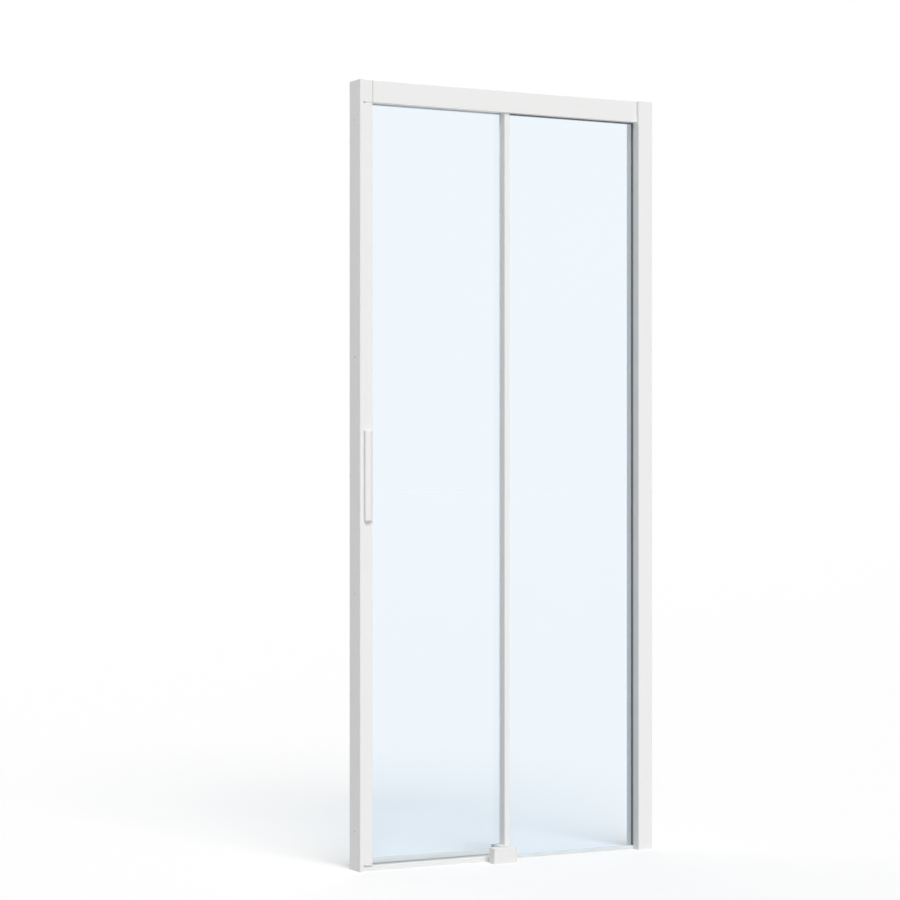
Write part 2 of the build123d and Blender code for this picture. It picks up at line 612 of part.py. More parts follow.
def guide_block():
    """The guide's body: a core in front, under the cover, and a tongue back under the stile and the leaf."""
    inset = GUIDE_COVER_WALL + NEST_GAP
    core = block(HEAD_X0 + inset, HEAD_X1 - inset, HEAD_Y0 + inset, HEAD_Y1, 0, GUIDE_HEAD_HEIGHT - inset)
    tongue = block(GUIDE_X0, GUIDE_X1, HEAD_Y1, SHOE_Y1 + GUIDE_REAR_JAW, 0, GUIDE_TONGUE_HEIGHT)
    above = GUIDE_TONGUE_HEIGHT + CUT
    leaf_slot = block(GUIDE_X0 - CUT, GUIDE_X1 + CUT, SHOE_Y0, SHOE_Y1, GUIDE_FLOOR, above)
    pane_slot = block(STILE_SLOT_X, GUIDE_X1 + CUT, SLOT_Y0, SLOT_Y1, GUIDE_FLOOR, above)
    body = core + tongue - leaf_slot - pane_slot
    screw_y = (HEAD_Y0 + HEAD_Y1) / 2
    for x in (HEAD_X - GUIDE_SCREW_SPACING / 2, HEAD_X + GUIDE_SCREW_SPACING / 2):
        body -= rod_z(x, screw_y, GUIDE_SCREW_R, -CUT, GUIDE_SCREW_SEAT)
        body -= rod_z(x, screw_y, GUIDE_SCREW_HEAD_R, GUIDE_SCREW_SEAT, GUIDE_HEAD_HEIGHT)
    body -= rod_z(STILE_X, STILE_SCREW_Y, SCREW_HEAD_R + SCREW_CLEARANCE, -CUT, GUIDE_SCREW_SEAT)
    return body - rod_z(STILE_X, STILE_SCREW_Y, SCREW_R + SCREW_CLEARANCE, 0, above)


def guide_cover():
    """The cover that clips over the front of the guide: a box open below and behind."""
    wall = GUIDE_COVER_WALL
    shell = block(HEAD_X0, HEAD_X1, HEAD_Y0, HEAD_Y1, 0, GUIDE_HEAD_HEIGHT)
    shell = fillet(shell.edges().filter_by(Axis.Z).group_by(Axis.Y)[0], GUIDE_COVER_ROUND)
    rim = shell.faces().sort_by(Axis.Z)[-1].edges().sort_by(Axis.Y)[:-1]
    shell = fillet(rim, GUIDE_COVER_TOP_ROUND)
    room = block(
        HEAD_X0 + wall, HEAD_X1 - wall, HEAD_Y0 + wall, HEAD_Y1 + CUT, -CUT, GUIDE_HEAD_HEIGHT - wall
    )
    return shell - room


def guide_shoe():
    """The nylon insert in which the leaf's lower edge runs."""
    section = channel(SHOE_Y0, SHOE_Y1, GUIDE_FLOOR, GUIDE_TONGUE_HEIGHT, SHOE_WALL, "up")
    return along_x(section, GUIDE_X0, GUIDE_X1)


def threshold_strip():
    """The low rail under the leaf: a flat foot with a raised, rounded front lip."""
    y0 = FRONT + THRESHOLD_SETBACK
    foot = rect(y0, y0 + THRESHOLD_DEPTH, 0, THRESHOLD_BASE)
    lip = rect(y0, y0 + THRESHOLD_LIP, 0, THRESHOLD_HEIGHT)
    lip = fillet(lip.vertices().group_by(Axis.Y)[-1], THRESHOLD_LIP / 2 - NEST_GAP)
    return along_x(foot + lip, STRIKE_WIDTH, GUIDE_X0)


# Leaf

def leaf_glass():
    section = rect(LEAF_GLASS_X0, LEAF_GLASS_X1, LEAF_Y0, LEAF_Y1, GLASS_ARRIS)
    return upright(section, LEAF_GLASS_BOTTOM, LEAF_GLASS_TOP)


def closing_stile():
    """The leaf's upright: a deep hollow box with a slot for the pane and a lip over the strike gap."""
    wall = LEAF_STILE_WALL
    slot_y0, slot_y1 = LEAF_Y0 - GASKET, LEAF_Y1 + GASKET
    outer = rect(LEAF_STILE_X0, LEAF_STILE_X1, LEAF_STILE_Y0, LEAF_STILE_Y1, CORNER)
    lip = rect(LEAF_LIP_X, LEAF_STILE_X0 + wall, LEAF_STILE_Y0, LEAF_STILE_Y0 + wall)
    chamber = rect(LEAF_STILE_X0 + wall, LEAF_STILE_X1 - wall, LEAF_STILE_Y0 + wall, slot_y0 - wall)
    slot = rect(LEAF_SLOT_X, LEAF_STILE_X1 + CUT, slot_y0, slot_y1)
    bolt_room = rect(LEAF_STILE_X0 + wall, LEAF_SLOT_X - wall, slot_y0, slot_y1)
    stile = upright(outer + lip - chamber - slot - bolt_room, LEAF_STILE_Z0, LEAF_STILE_Z1)
    radius = HANDLE_BOLT_R + SCREW_CLEARANCE
    return stile - [
        rod_y(HANDLE_BOLT_X, z, radius, LEAF_STILE_Y0 - CUT, LEAF_STILE_Y1 + CUT) for z in HANDLE_BOLT_Z
    ]


def closing_stile_gasket():
    section = channel(LEAF_SLOT_X, LEAF_STILE_X1, LEAF_Y0 - GASKET, LEAF_Y1 + GASKET, GASKET, "right")
    return upright(section, LEAF_STILE_Z0, LEAF_STILE_Z1)


def stile_end_caps():
    """Plastic caps that close the closing stile at both ends and let the pane through."""
    section = rect(LEAF_STILE_X0, LEAF_STILE_X1, LEAF_STILE_Y0, LEAF_STILE_Y1, CORNER)
    section -= rect(LEAF_SLOT_X, LEAF_STILE_X1 + CUT, LEAF_Y0 - NEST_GAP, LEAF_Y1 + NEST_GAP)
    low = upright(section, LEAF_STILE_Z0 - STILE_CAP, LEAF_STILE_Z0)
    return group([low, upright(section, LEAF_STILE_Z1, LEAF_STILE_Z1 + STILE_CAP)])


def handle(x, width, y, projection, side):
    """A grip flat against the stile, of two quarter ovals that meet at a ridge nearer the closing side."""
    x0, x1 = x - width / 2, x + width / 2
    ridge = x0 + width * HANDLE_RIDGE
    near, far = sorted((y, y + side * projection * 2))
    steep = (Pos(ridge, y) * Ellipse(ridge - x0, projection)) & rect(x0 - CUT, ridge, near, far)
    gentle = (Pos(ridge, y) * Ellipse(x1 - ridge, projection)) & rect(ridge, x1 + CUT, near, far)
    grip = upright(steep + gentle, HANDLE_HEIGHT - HANDLE_LENGTH / 2, HANDLE_HEIGHT + HANDLE_LENGTH / 2)
    grip = fillet(grip.edges().filter_by(GeomType.ELLIPSE), HANDLE_END_ROUND)
    depth = sorted((y, y + side * HANDLE_BORE_DEPTH))
    return grip - [rod_y(HANDLE_BOLT_X, z, HANDLE_BOLT_R, *depth) for z in HANDLE_BOLT_Z]


def handle_outer():
    centre = (LEAF_LIP_X + LEAF_STILE_X1) / 2
    return handle(centre, HANDLE_WIDTH, LEAF_STILE_Y0, HANDLE_PROJECTION, -1)


def handle_inner():
    centre = (LEAF_STILE_X0 + LEAF_STILE_X1) / 2
    return handle(centre, INNER_HANDLE_WIDTH, LEAF_STILE_Y1, INNER_HANDLE_PROJECTION, 1)


def handle_bolts():
    y0, y1 = LEAF_STILE_Y0 - HANDLE_BOLT_DEPTH, LEAF_STILE_Y1 + HANDLE_BOLT_DEPTH
    return group([rod_y(HANDLE_BOLT_X, z, HANDLE_BOLT_R, y0, y1) for z in HANDLE_BOLT_Z])


def leaf_top_rail():
    """The aluminium channel clamped over the pane's upper edge, which hangs from the carriages."""
    wall = RAIL_WALL + GASKET
    outer = rect(LEAF_Y0 - wall, LEAF_Y1 + wall, RAIL_Z0, RAIL_Z1)
    inner = rect(LEAF_Y0 - GASKET, LEAF_Y1 + GASKET, RAIL_Z0 - CUT, LEAF_GLASS_TOP + GASKET)
    rail = along_x(outer - inner, RAIL_X0, RAIL_X1)
    return rail - [rod_z(x, LEAF_Y, ADJUSTER_R, LEAF_GLASS_TOP + GASKET, RAIL_Z1) for x in CARRIAGE_X]


def top_rail_gasket():
    z1 = LEAF_GLASS_TOP + GASKET
    section = channel(LEAF_Y0 - GASKET, LEAF_Y1 + GASKET, RAIL_Z0, z1, GASKET, "down")
    return along_x(section, RAIL_X0, RAIL_X1)


def carriage(x):
    """The block that holds two axles and stands on the top rail."""
    half, top = CARRIAGE_LENGTH / 2, RAIL_Z1 + CARRIAGE_HEIGHT
    body = along_y(rect(x - half, x + half, RAIL_Z1, top, CARRIAGE_ROUND), CARRIAGE_Y0, CARRIAGE_Y1)
    for side in (-1, 1):
        axle_x = x + side * WHEEL_SPACING / 2
        body -= rod_y(axle_x, WHEEL_Z, AXLE_R, CARRIAGE_Y0 + AXLE_END_COVER, CARRIAGE_Y1)
    return body - rod_z(x, LEAF_Y, ADJUSTER_R, RAIL_Z1, top)


def axle(x):
    """An axle pin: held in the carriage, with a shoulder before the wheel and a head behind it."""
    wheel_y0, wheel_y1 = WHEEL_Y - WHEEL_WIDTH / 2, WHEEL_Y + WHEEL_WIDTH / 2
    head_y = wheel_y1 + WHEEL_SIDE_GAP
    pin = rod_y(x, WHEEL_Z, AXLE_R, CARRIAGE_Y0 + AXLE_END_COVER, head_y)
    shoulder = rod_y(x, WHEEL_Z, AXLE_SHOULDER_R, CARRIAGE_Y1, wheel_y0 - WHEEL_SIDE_GAP)
    return pin + shoulder + rod_y(x, WHEEL_Z, AXLE_SHOULDER_R, head_y, head_y + AXLE_HEAD)


def roller_axles():
    return group([axle(x) for x in WHEEL_X])


def roller_tyre(x):
    y0, y1 = WHEEL_Y - WHEEL_WIDTH / 2, WHEEL_Y + WHEEL_WIDTH / 2
    tyre = rod_y(x, WHEEL_Z, WHEEL_R, y0, y1)
    tyre = fillet(tyre.edges().filter_by(GeomType.CIRCLE), WHEEL_ROUND)
    return tyre - rod_y(x, WHEEL_Z, BEARING_R, y0, y1)


def roller_bearing(x):
    y0, y1 = WHEEL_Y - BEARING_WIDTH / 2, WHEEL_Y + BEARING_WIDTH / 2
    return rod_y(x, WHEEL_Z, BEARING_R, y0, y1) - rod_y(x, WHEEL_Z, AXLE_R + AXLE_FIT, y0, y1)


def height_adjusters():
    """Hexagon screws down through the carriages, which raise or lower the leaf's rail."""
    top = RAIL_Z1 + CARRIAGE_HEIGHT
    solids = []
    for x in CARRIAGE_X:
        hexagon = Pos(x, LEAF_Y) * RegularPolygon(ADJUSTER_HEAD_R, 6)
        head = upright(hexagon, top, top + ADJUSTER_HEAD)
        solids.append(head + rod_z(x, LEAF_Y, ADJUSTER_R, RAIL_Z1 - RAIL_WEB, top))
    return group(solids)


def trailing_seal():
    """A clear channel on the leaf's trailing edge, with a lip towards the fixed pane."""
    x1 = LEAF_GLASS_X1 + SEAL_WALL
    clip = channel(x1 - SEAL_CLIP, x1, LEAF_Y0 - SEAL_WALL, LEAF_Y1 + SEAL_WALL, SEAL_WALL, "left")
    lip_x = x1 - TRAILING_LIP_INSET
    lip = rect(lip_x, lip_x + LIP, FIXED_Y1 + LIP_GAP, LEAF_Y0 - SEAL_WALL)
    return upright(clip + lip, LEAF_GLASS_BOTTOM, HEADER_Z - LEAF_HEAD_GAP)


def drip_seal():
    """A clear channel on the leaf's lower edge, with a fin down to the tray."""
    z0, z1 = LEAF_GLASS_BOTTOM - SEAL_WALL, LEAF_GLASS_BOTTOM + DRIP_CLIP
    clip = channel(LEAF_Y0 - SEAL_WALL, LEAF_Y1 + SEAL_WALL, z0, z1, SEAL_WALL, "up")
    fin = rect(LEAF_Y - LIP / 2, LEAF_Y + LIP / 2, GUIDE_FLOOR + SHOE_WALL + RUNNING_GAP, z0)
    x1 = LEAF_GLASS_X1 + SEAL_WALL - SEAL_CLIP - NEST_GAP
    return along_x(clip + fin, LEAF_STILE_X1 + NEST_GAP, x1)


# End stops on the track

def end_stop(side):
    x = STOP_X[side]
    y1 = BACK - HEADER_WALL - NEST_GAP
    top = TRACK_TOP + STOP_HEIGHT
    body = block(x - STOP_LENGTH / 2, x + STOP_LENGTH / 2, CARRIAGE_Y0, y1, TRACK_TOP, top)
    body = fillet(body.edges().filter_by(Axis.Z), STOP_ROUND)
    body -= rod_z(x, STOP_SCREW_Y, SCREW_R, TRACK_TOP, STOP_SEAT_Z)
    return body - rod_z(x, STOP_SCREW_Y, SCREW_HEAD_R + SCREW_CLEARANCE, STOP_SEAT_Z, top)


def stop_buffers():
    """Rubber buffers on the faces of the end stops that the carriages meet."""
    z = TRACK_TOP + STOP_HEIGHT / 2
    left, right = STOP_X["left"] + STOP_LENGTH / 2, STOP_X["right"] - STOP_LENGTH / 2
    return group([
        rod_x(LEAF_Y, z, BUFFER_R, left, left + BUFFER_LENGTH),
        rod_x(LEAF_Y, z, BUFFER_R, right - BUFFER_LENGTH, right),
    ])


def stop_screws():
    solids = []
    for x in STOP_X.values():
        shank = rod_z(x, STOP_SCREW_Y, SCREW_R, TRACK_TOP - TRACK_THICKNESS, STOP_SEAT_Z)
        solids.append(shank + rod_z(x, STOP_SCREW_Y, SCREW_HEAD_R, STOP_SEAT_Z, STOP_SEAT_Z + STOP_HEAD))
    return group(solids)


def nodes():
    """Every sub-part by name."""
    shapes = {
        "wall_profile_left": wall_profile_left(),
        "strike_profile": strike_profile(),
        "strike_magnet_strip": strike_magnet_strip(),
        "wall_profile_right": wall_profile_right(),
        "glazing_profile_right": glazing_profile_right(),
        "glazing_gasket_right": glazing_gasket_right(),
        "glazing_gasket_top": glazing_gasket_top(),
        "clamp_screws": clamp_screws(),
        "clamp_screw_caps": clamp_screw_caps(),
        "header_rail": header_rail(),
        "header_end_cap": header_end_cap(),
        "header_joint_gasket": header_joint_gasket(),
        "header_connector_left": header_connector("left"),
        "header_connector_right": header_connector("right"),
        "header_screws": header_screws(),
        "connector_screws": connector_screws(),
        "end_stop_left": end_stop("left"),
        "end_stop_right": end_stop("right"),
        "stop_buffers": stop_buffers(),
        "stop_screws": stop_screws(),
        "fixed_glass": fixed_glass(),
        "sill_gasket": sill_gasket(),
        "fixed_stile": fixed_stile(),
        "stile_gasket": stile_gasket(),
        "stile_plugs": stile_plugs(),
        "stile_screws": stile_screws(),
        "overlap_seal": overlap_seal(),
        "guide_block": guide_block(),
        "guide_cover": guide_cover(),
        "guide_shoe": guide_shoe(),
        "threshold_strip": threshold_strip(),
        "leaf_glass": leaf_glass(),
        "closing_stile": closing_stile(),
        "closing_stile_gasket": closing_stile_gasket(),
        "leaf_magnet_seal": leaf_magnet_seal(),
        "stile_end_caps": stile_end_caps(),
        "handle_outer": handle_outer(),
        "handle_inner": handle_inner(),
        "handle_bolts": handle_bolts(),
        "leaf_top_rail": leaf_top_rail(),
        "top_rail_gasket": top_rail_gasket(),
        "carriage_left": carriage(CARRIAGE_X[0]),
        "carriage_right": carriage(CARRIAGE_X[1]),
        "roller_axles": roller_axles(),
        "height_adjusters": height_adjusters(),
        "trailing_seal": trailing_seal(),
        "drip_seal": drip_seal(),
    }
    for number, x in enumerate(WHEEL_X, 1):
        shapes[f"roller_tyre_{number}"] = roller_tyre(x)
        shapes[f"roller_bearing_{number}"] = roller_bearing(x)
    return shapes


os.makedirs("parts", exist_ok=True)
for name, shape in nodes().items():
    export_step(shape, f"parts/{name}.step")
print("leaf travel", round(TRAVEL, 3), "mm, roller radius", WHEEL_R, "mm")
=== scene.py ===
# %% [markdown]
# # A sliding shower door
# A fixed pane stands on the right, and a glass leaf on four wheels closes the doorway on the left.
# The imported CAD model is the fixed frame of this scene: every profile is already in its place, in metres, with
# X along the door, Y from the room into the shower and Z up. This file adds a camera, a plain studio, the
# finishes, and finer shapes for the small parts that a CAD solid only blocks out.
# The model's box is kept and printed now.

# %% Load the imported model
from math import radians

import bmesh
import bpy
import numpy as np
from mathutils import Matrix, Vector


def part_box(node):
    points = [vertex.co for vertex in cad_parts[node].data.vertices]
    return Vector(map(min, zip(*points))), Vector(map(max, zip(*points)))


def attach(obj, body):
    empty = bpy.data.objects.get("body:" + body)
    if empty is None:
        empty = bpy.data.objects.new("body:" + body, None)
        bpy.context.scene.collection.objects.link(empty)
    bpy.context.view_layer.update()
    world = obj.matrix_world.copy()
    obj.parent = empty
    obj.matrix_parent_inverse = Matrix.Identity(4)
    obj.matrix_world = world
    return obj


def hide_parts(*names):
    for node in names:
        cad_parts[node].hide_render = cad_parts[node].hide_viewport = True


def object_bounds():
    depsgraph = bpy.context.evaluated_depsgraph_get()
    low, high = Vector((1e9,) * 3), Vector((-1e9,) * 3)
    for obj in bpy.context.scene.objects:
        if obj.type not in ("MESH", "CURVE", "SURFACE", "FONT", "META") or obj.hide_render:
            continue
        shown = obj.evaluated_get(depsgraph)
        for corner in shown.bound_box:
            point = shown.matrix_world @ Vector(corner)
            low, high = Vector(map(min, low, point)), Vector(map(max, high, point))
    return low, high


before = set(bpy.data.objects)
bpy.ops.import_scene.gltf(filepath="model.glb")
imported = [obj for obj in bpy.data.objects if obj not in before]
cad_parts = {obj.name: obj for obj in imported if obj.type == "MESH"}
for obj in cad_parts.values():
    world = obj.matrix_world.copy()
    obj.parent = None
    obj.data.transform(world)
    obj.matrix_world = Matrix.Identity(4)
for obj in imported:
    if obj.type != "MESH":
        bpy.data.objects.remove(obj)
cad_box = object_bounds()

low_corner, high_corner = ([round(v, 3) for v in corner] for corner in cad_box)
print(len(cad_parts), "CAD parts, from", low_corner, "to", high_corner)

# %% [markdown]
# ## Camera
# The picture has two vanishing directions and level verticals, as a camera has that looks level and is shifted
# up a little instead of tilted. Its lens, place and angle were fitted to the four corners of the frame and to the
# depth of its profiles. A long lens from seven metres away gives the picture's calm, nearly parallel lines.

# %% Place the camera
SENSOR = 36.0
PICTURE = 900
FOCAL_PIXELS = 2567.0
HORIZON_ROW = 475.7

camera = bpy.data.objects.new("camera", bpy.data.cameras.new("camera"))
bpy.context.scene.collection.objects.link(camera)
camera.location = (-2.8365, -5.8481, 1.0)
camera.rotation_euler = (radians(90), 0, radians(-28.0))
camera.data.sensor_width = SENSOR
camera.data.lens = FOCAL_PIXELS * SENSOR / PICTURE
camera.data.shift_y = (HORIZON_ROW - PICTURE / 2) / PICTURE
camera.data.clip_end = 400
bpy.context.scene.camera = camera
print("lens", round(camera.data.lens, 1), "mm, shift", round(camera.data.shift_y, 4))

# %% [markdown]
# ## Small helpers for shader nodes
# A material is a graph of nodes. Adding one node and filling its inputs takes several lines each time, so one
# helper does both: an input that is given another node's output becomes a link, and any other value is set.

# %% Add a node and fill its inputs
def add_node(tree, kind, inputs=(), **settings):
    """Adds a node, applies its settings, and gives each listed input a value or a link."""
    node = tree.nodes.new(kind)
    for name, value in settings.items():
        setattr(node, name, value)
    for key, value in dict(inputs).items():
        if isinstance(value, bpy.types.NodeSocket):
            tree.links.new(value, node.inputs[key])
        else:
            node.inputs[key].default_value = value
    return node


def arithmetic(tree, operation, first, second):
    """The result of one Math node."""
    return add_node(tree, "ShaderNodeMath", {0: first, 1: second}, operation=operation).outputs[0]


def seen_directly(tree):
    """1 for rays from the eye, straight, mirrored or through glass, and 0 for rays that carry light around."""
    path = add_node(tree, "ShaderNodeLightPath").outputs
    either = arithmetic(tree, "MAXIMUM", path["Is Camera Ray"], path["Is Glossy Ray"])
    return arithmetic(tree, "MAXIMUM", either, path["Is Transmission Ray"])


print("node helpers ready")

# %% [markdown]
# ## Studio
# The door stands on a pale floor in an even white room. A real photographer would use one large soft light and
# white walls. The walls here are the world itself: it shows as pure white to the eye, in mirror reflections and
# through glass, but lights the object much less, so that the white coating keeps its shading. The soft light is
# a wide sun in front of the door, a little to the left, which leaves the profiles' left flanks grey. A weaker and
# wider one fills in the back, straight from behind, so that it adds nothing to the flanks.

# %% The room around the door
AMBIENT = 0.16

world = bpy.data.worlds.new("studio")
bpy.context.scene.world = world
world.use_nodes = True
world.node_tree.nodes.clear()
room_share = arithmetic(world.node_tree, "MULTIPLY", seen_directly(world.node_tree), 1 - AMBIENT)
room_light = arithmetic(world.node_tree, "ADD", room_share, AMBIENT)
room = add_node(world.node_tree, "ShaderNodeBackground", {"Color": (1, 1, 1, 1), "Strength": room_light})
add_node(world.node_tree, "ShaderNodeOutputWorld", {"Surface": room.outputs[0]})
bpy.context.scene.view_settings.view_transform = "Standard"
print("room lights the object at", AMBIENT)

# %% Two soft lights
SUN_FROM, SUN_LEVEL, SUN_SPREAD = (-0.12, -0.66, 0.72), 2.40, 32
FILL_FROM, FILL_LEVEL, FILL_SPREAD = (0.0, 0.76, 0.65), 1.00, 70


def soft_light(name, source, level, spread):
    """A sun that shines from the given direction, and looks as wide as the spread in degrees."""
    light = bpy.data.objects.new(name, bpy.data.lights.new(name, "SUN"))
    bpy.context.scene.collection.objects.link(light)
    light.data.energy = level
    light.data.angle = radians(spread)
    light.rotation_euler = Vector(source).to_track_quat("Z", "Y").to_euler()
    print(name, "from", source)


soft_light("softbox_in_front", SUN_FROM, SUN_LEVEL, SUN_SPREAD)
soft_light("fill_from_behind", FILL_FROM, FILL_LEVEL, FILL_SPREAD)

# %% The floor
FLOOR_HALF = 150.0
FLOOR_GLOW = 0.228

floor_paint = bpy.data.materials.new("studio_floor")
floor_paint.use_nodes = True
floor_tree = floor_paint.node_tree
floor_tree.nodes.clear()
glow = arithmetic(floor_tree, "MULTIPLY", seen_directly(floor_tree), FLOOR_GLOW)
floor_shader = add_node(floor_tree, "ShaderNodeBsdfPrincipled", {
    "Base Color": (0.80, 0.80, 0.80, 1), "Roughness": 0.9, "Specular IOR Level": 0.1,
    "Emission Color": (1, 1, 1, 1), "Emission Strength": glow,
})
add_node(floor_tree, "ShaderNodeOutputMaterial", {"Surface": floor_shader.outputs[0]})

floor_mesh = bpy.data.meshes.new("floor")
corners = FLOOR_HALF * np.array([(-1, -1, 0), (1, -1, 0), (1, 1, 0), (-1, 1, 0)])
floor_mesh.from_pydata(corners.tolist(), [], [(0, 1, 2, 3)])
floor_mesh.materials.append(floor_paint)
floor = bpy.data.objects.new("floor", floor_mesh)
bpy.context.scene.collection.objects.link(floor)
print("floor", 2 * FLOOR_HALF, "m square")

# %% [markdown]
# ## Effects that several finishes share
# A shader node group is a small graph with named inputs, built once and used in many materials with other
# values. Three are enough here. Coating grain is the faint orange peel of baked powder together with the drawn
# lines of the aluminium under it. Moulded grain is the spark-eroded skin of injection moulded plastic. Drawn
# lines are the streaks that a die or a brush leaves along rubber, vinyl and steel.
# Each puts out a colour, a roughness and a height, all of which change over the surface.

# %% Start a group with its sockets
def new_group(name, inputs):
    """A node group with the given inputs and with Color, Roughness and Height as its outputs."""
    group = bpy.data.node_groups.new(name, "ShaderNodeTree")
    for label, kind, value in inputs:
        socket = group.interface.new_socket(label, in_out="INPUT", socket_type=kind)
        if value is not None:
            socket.default_value = value
    outputs = {"Color": "NodeSocketColor", "Roughness": "NodeSocketFloat", "Height": "NodeSocketFloat"}
    for label, kind in outputs.items():
        group.interface.new_socket(label, in_out="OUTPUT", socket_type=kind)
    return group, add_node(group, "NodeGroupInput").outputs


def noise(tree, vector, scale, detail=2.0):
    """A noise texture's value, around 0.5."""
    return add_node(tree, "ShaderNodeTexNoise", {"Vector": vector, "Scale": scale, "Detail": detail}).outputs["Fac"]


def drifting(tree, middle, value, amount):
    """middle + amount (value - 0.5): a number that drifts a little to both sides."""
    offset = arithmetic(tree, "MULTIPLY", arithmetic(tree, "SUBTRACT", value, 0.5), amount)
    return arithmetic(tree, "ADD", offset, middle)


def stretched(tree, given):
    """The given coordinates times the given stretch, so that a noise in them reads as lines."""
    inputs = {0: given["Vector"], 1: given["Stretch"]}
    return add_node(tree, "ShaderNodeVectorMath", inputs, operation="MULTIPLY").outputs[0]


def shaded(tree, color, value, amount):
    """The colour, made lighter and darker by amount as the value goes round 0.5."""
    factor = drifting(tree, 1.0, value, amount)
    return add_node(tree, "ShaderNodeVectorMath", {0: color, 1: (1, 1, 1), 3: factor}, operation="SCALE").outputs[0]


SHARED_INPUTS = [
    ("Vector", "NodeSocketVector", None),
    ("Stretch", "NodeSocketVector", (1.0, 1.0, 1.0)),
    ("Scale", "NodeSocketFloat", 900.0),
    ("Color", "NodeSocketColor", (0.8, 0.8, 0.8, 1.0)),
    ("Color Drift", "NodeSocketFloat", 0.03),
    ("Roughness", "NodeSocketFloat", 0.4),
    ("Roughness Drift", "NodeSocketFloat", 0.1),
]
print("group inputs:", ", ".join(label for label, _, _ in SHARED_INPUTS))

# %% Coating grain
def coating_grain():
    """Height = 0.7 peel + 0.3 lines: a round noise, and one that is stretched along the profile."""
    group, given = new_group("coating_grain", SHARED_INPUTS)
    peel = noise(group, given["Vector"], given["Scale"])
    lines = noise(group, stretched(group, given), given["Scale"])
    cloud = noise(group, given["Vector"], 3.5, 3.0)
    peel_share = arithmetic(group, "MULTIPLY", peel, 0.7)
    height = arithmetic(group, "ADD", peel_share, arithmetic(group, "MULTIPLY", lines, 0.3))
    add_node(group, "NodeGroupOutput", {
        "Color": shaded(group, given["Color"], cloud, given["Color Drift"]),
        "Roughness": drifting(group, given["Roughness"], cloud, given["Roughness Drift"]),
        "Height": height,
    })
    return group


COATING_GRAIN = coating_grain()
print("group", COATING_GRAIN.name, "with", len(COATING_GRAIN.nodes), "nodes")

# %% Moulded grain
def moulded_grain():
    """Height = distance to the nearest of many scattered points, which looks like fine rounded pits."""
    group, given = new_group("moulded_grain", SHARED_INPUTS)
    scattered = {"Vector": given["Vector"], "Scale": given["Scale"]}
    pits = add_node(group, "ShaderNodeTexVoronoi", scattered, feature="SMOOTH_F1")
    flow = noise(group, stretched(group, given), 18.0, 3.0)
    add_node(group, "NodeGroupOutput", {
        "Color": shaded(group, given["Color"], flow, given["Color Drift"]),
        "Roughness": drifting(group, given["Roughness"], flow, given["Roughness Drift"]),
        "Height": pits.outputs["Distance"],
    })
    return group


MOULDED_GRAIN = moulded_grain()
print("group", MOULDED_GRAIN.name, "with", len(MOULDED_GRAIN.nodes), "nodes")

# %% Drawn lines
def drawn_lines():
    """Height = a noise stretched along one direction, so that it reads as long fine streaks."""
    group, given = new_group("drawn_lines", SHARED_INPUTS)
    streaks = noise(group, stretched(group, given), given["Scale"], 4.0)
    cloud = noise(group, given["Vector"], 9.0)
    add_node(group, "NodeGroupOutput", {
        "Color": shaded(group, given["Color"], cloud, given["Color Drift"]),
        "Roughness": drifting(group, given["Roughness"], streaks, given["Roughness Drift"]),
        "Height": streaks,
    })
    return group


DRAWN_LINES = drawn_lines()
print("group", DRAWN_LINES.name, "with", len(DRAWN_LINES.nodes), "nodes")

# %% [markdown]
# ## Finishes
# One function builds every opaque finish: a group gives colour, roughness and height from the Object
# coordinates, which are metres on the real door, and a Bump node turns the height into a normal. What is the
# same all over a surface, such as metal or a clear coat, is set on the shader itself.
# The stretch is small along the direction in which the lines run: a profile that stands has them along Z, and
# one that lies across the doorway along X.

# %% Build an opaque finish
ALONG_Z = (1.0, 1.0, 0.01)
ALONG_X = (0.01, 1.0, 1.0)
EVEN = (1.0, 1.0, 1.0)


def finish(name, group, color, stretch, scale, color_drift, roughness, roughness_drift, bump, **constants):
    """A material whose colour, roughness and bump come from one group; constants go on the shader's own sockets."""
    material = bpy.data.materials.new(name)
    material.use_nodes = True
    tree = material.node_tree
    tree.nodes.clear()
    place = add_node(tree, "ShaderNodeTexCoord").outputs["Object"]
    effect = add_node(tree, "ShaderNodeGroup", node_tree=group)
    tree.links.new(place, effect.inputs["Vector"])
    effect.inputs["Stretch"].default_value = stretch
    effect.inputs["Scale"].default_value = scale
    effect.inputs["Color"].default_value = (*color, 1.0)
    effect.inputs["Color Drift"].default_value = color_drift
    effect.inputs["Roughness"].default_value = roughness
    effect.inputs["Roughness Drift"].default_value = roughness_drift
    relief = add_node(tree, "ShaderNodeBump", {
        "Strength": bump, "Distance": 0.0002, "Height": effect.outputs["Height"],
    })
    shader = add_node(tree, "ShaderNodeBsdfPrincipled", {
        "Base Color": effect.outputs["Color"], "Roughness": effect.outputs["Roughness"],
        "Normal": relief.outputs[0],
    })
    for label, value in constants.items():
        shader.inputs[label.replace("_", " ")].default_value = value
    add_node(tree, "ShaderNodeOutputMaterial", {"Surface": shader.outputs[0]})
    return material


print("finishes are built from", len((COATING_GRAIN, MOULDED_GRAIN, DRAWN_LINES)), "groups")

# %% White coatings and plastics
WHITE = (0.87, 0.87, 0.865)

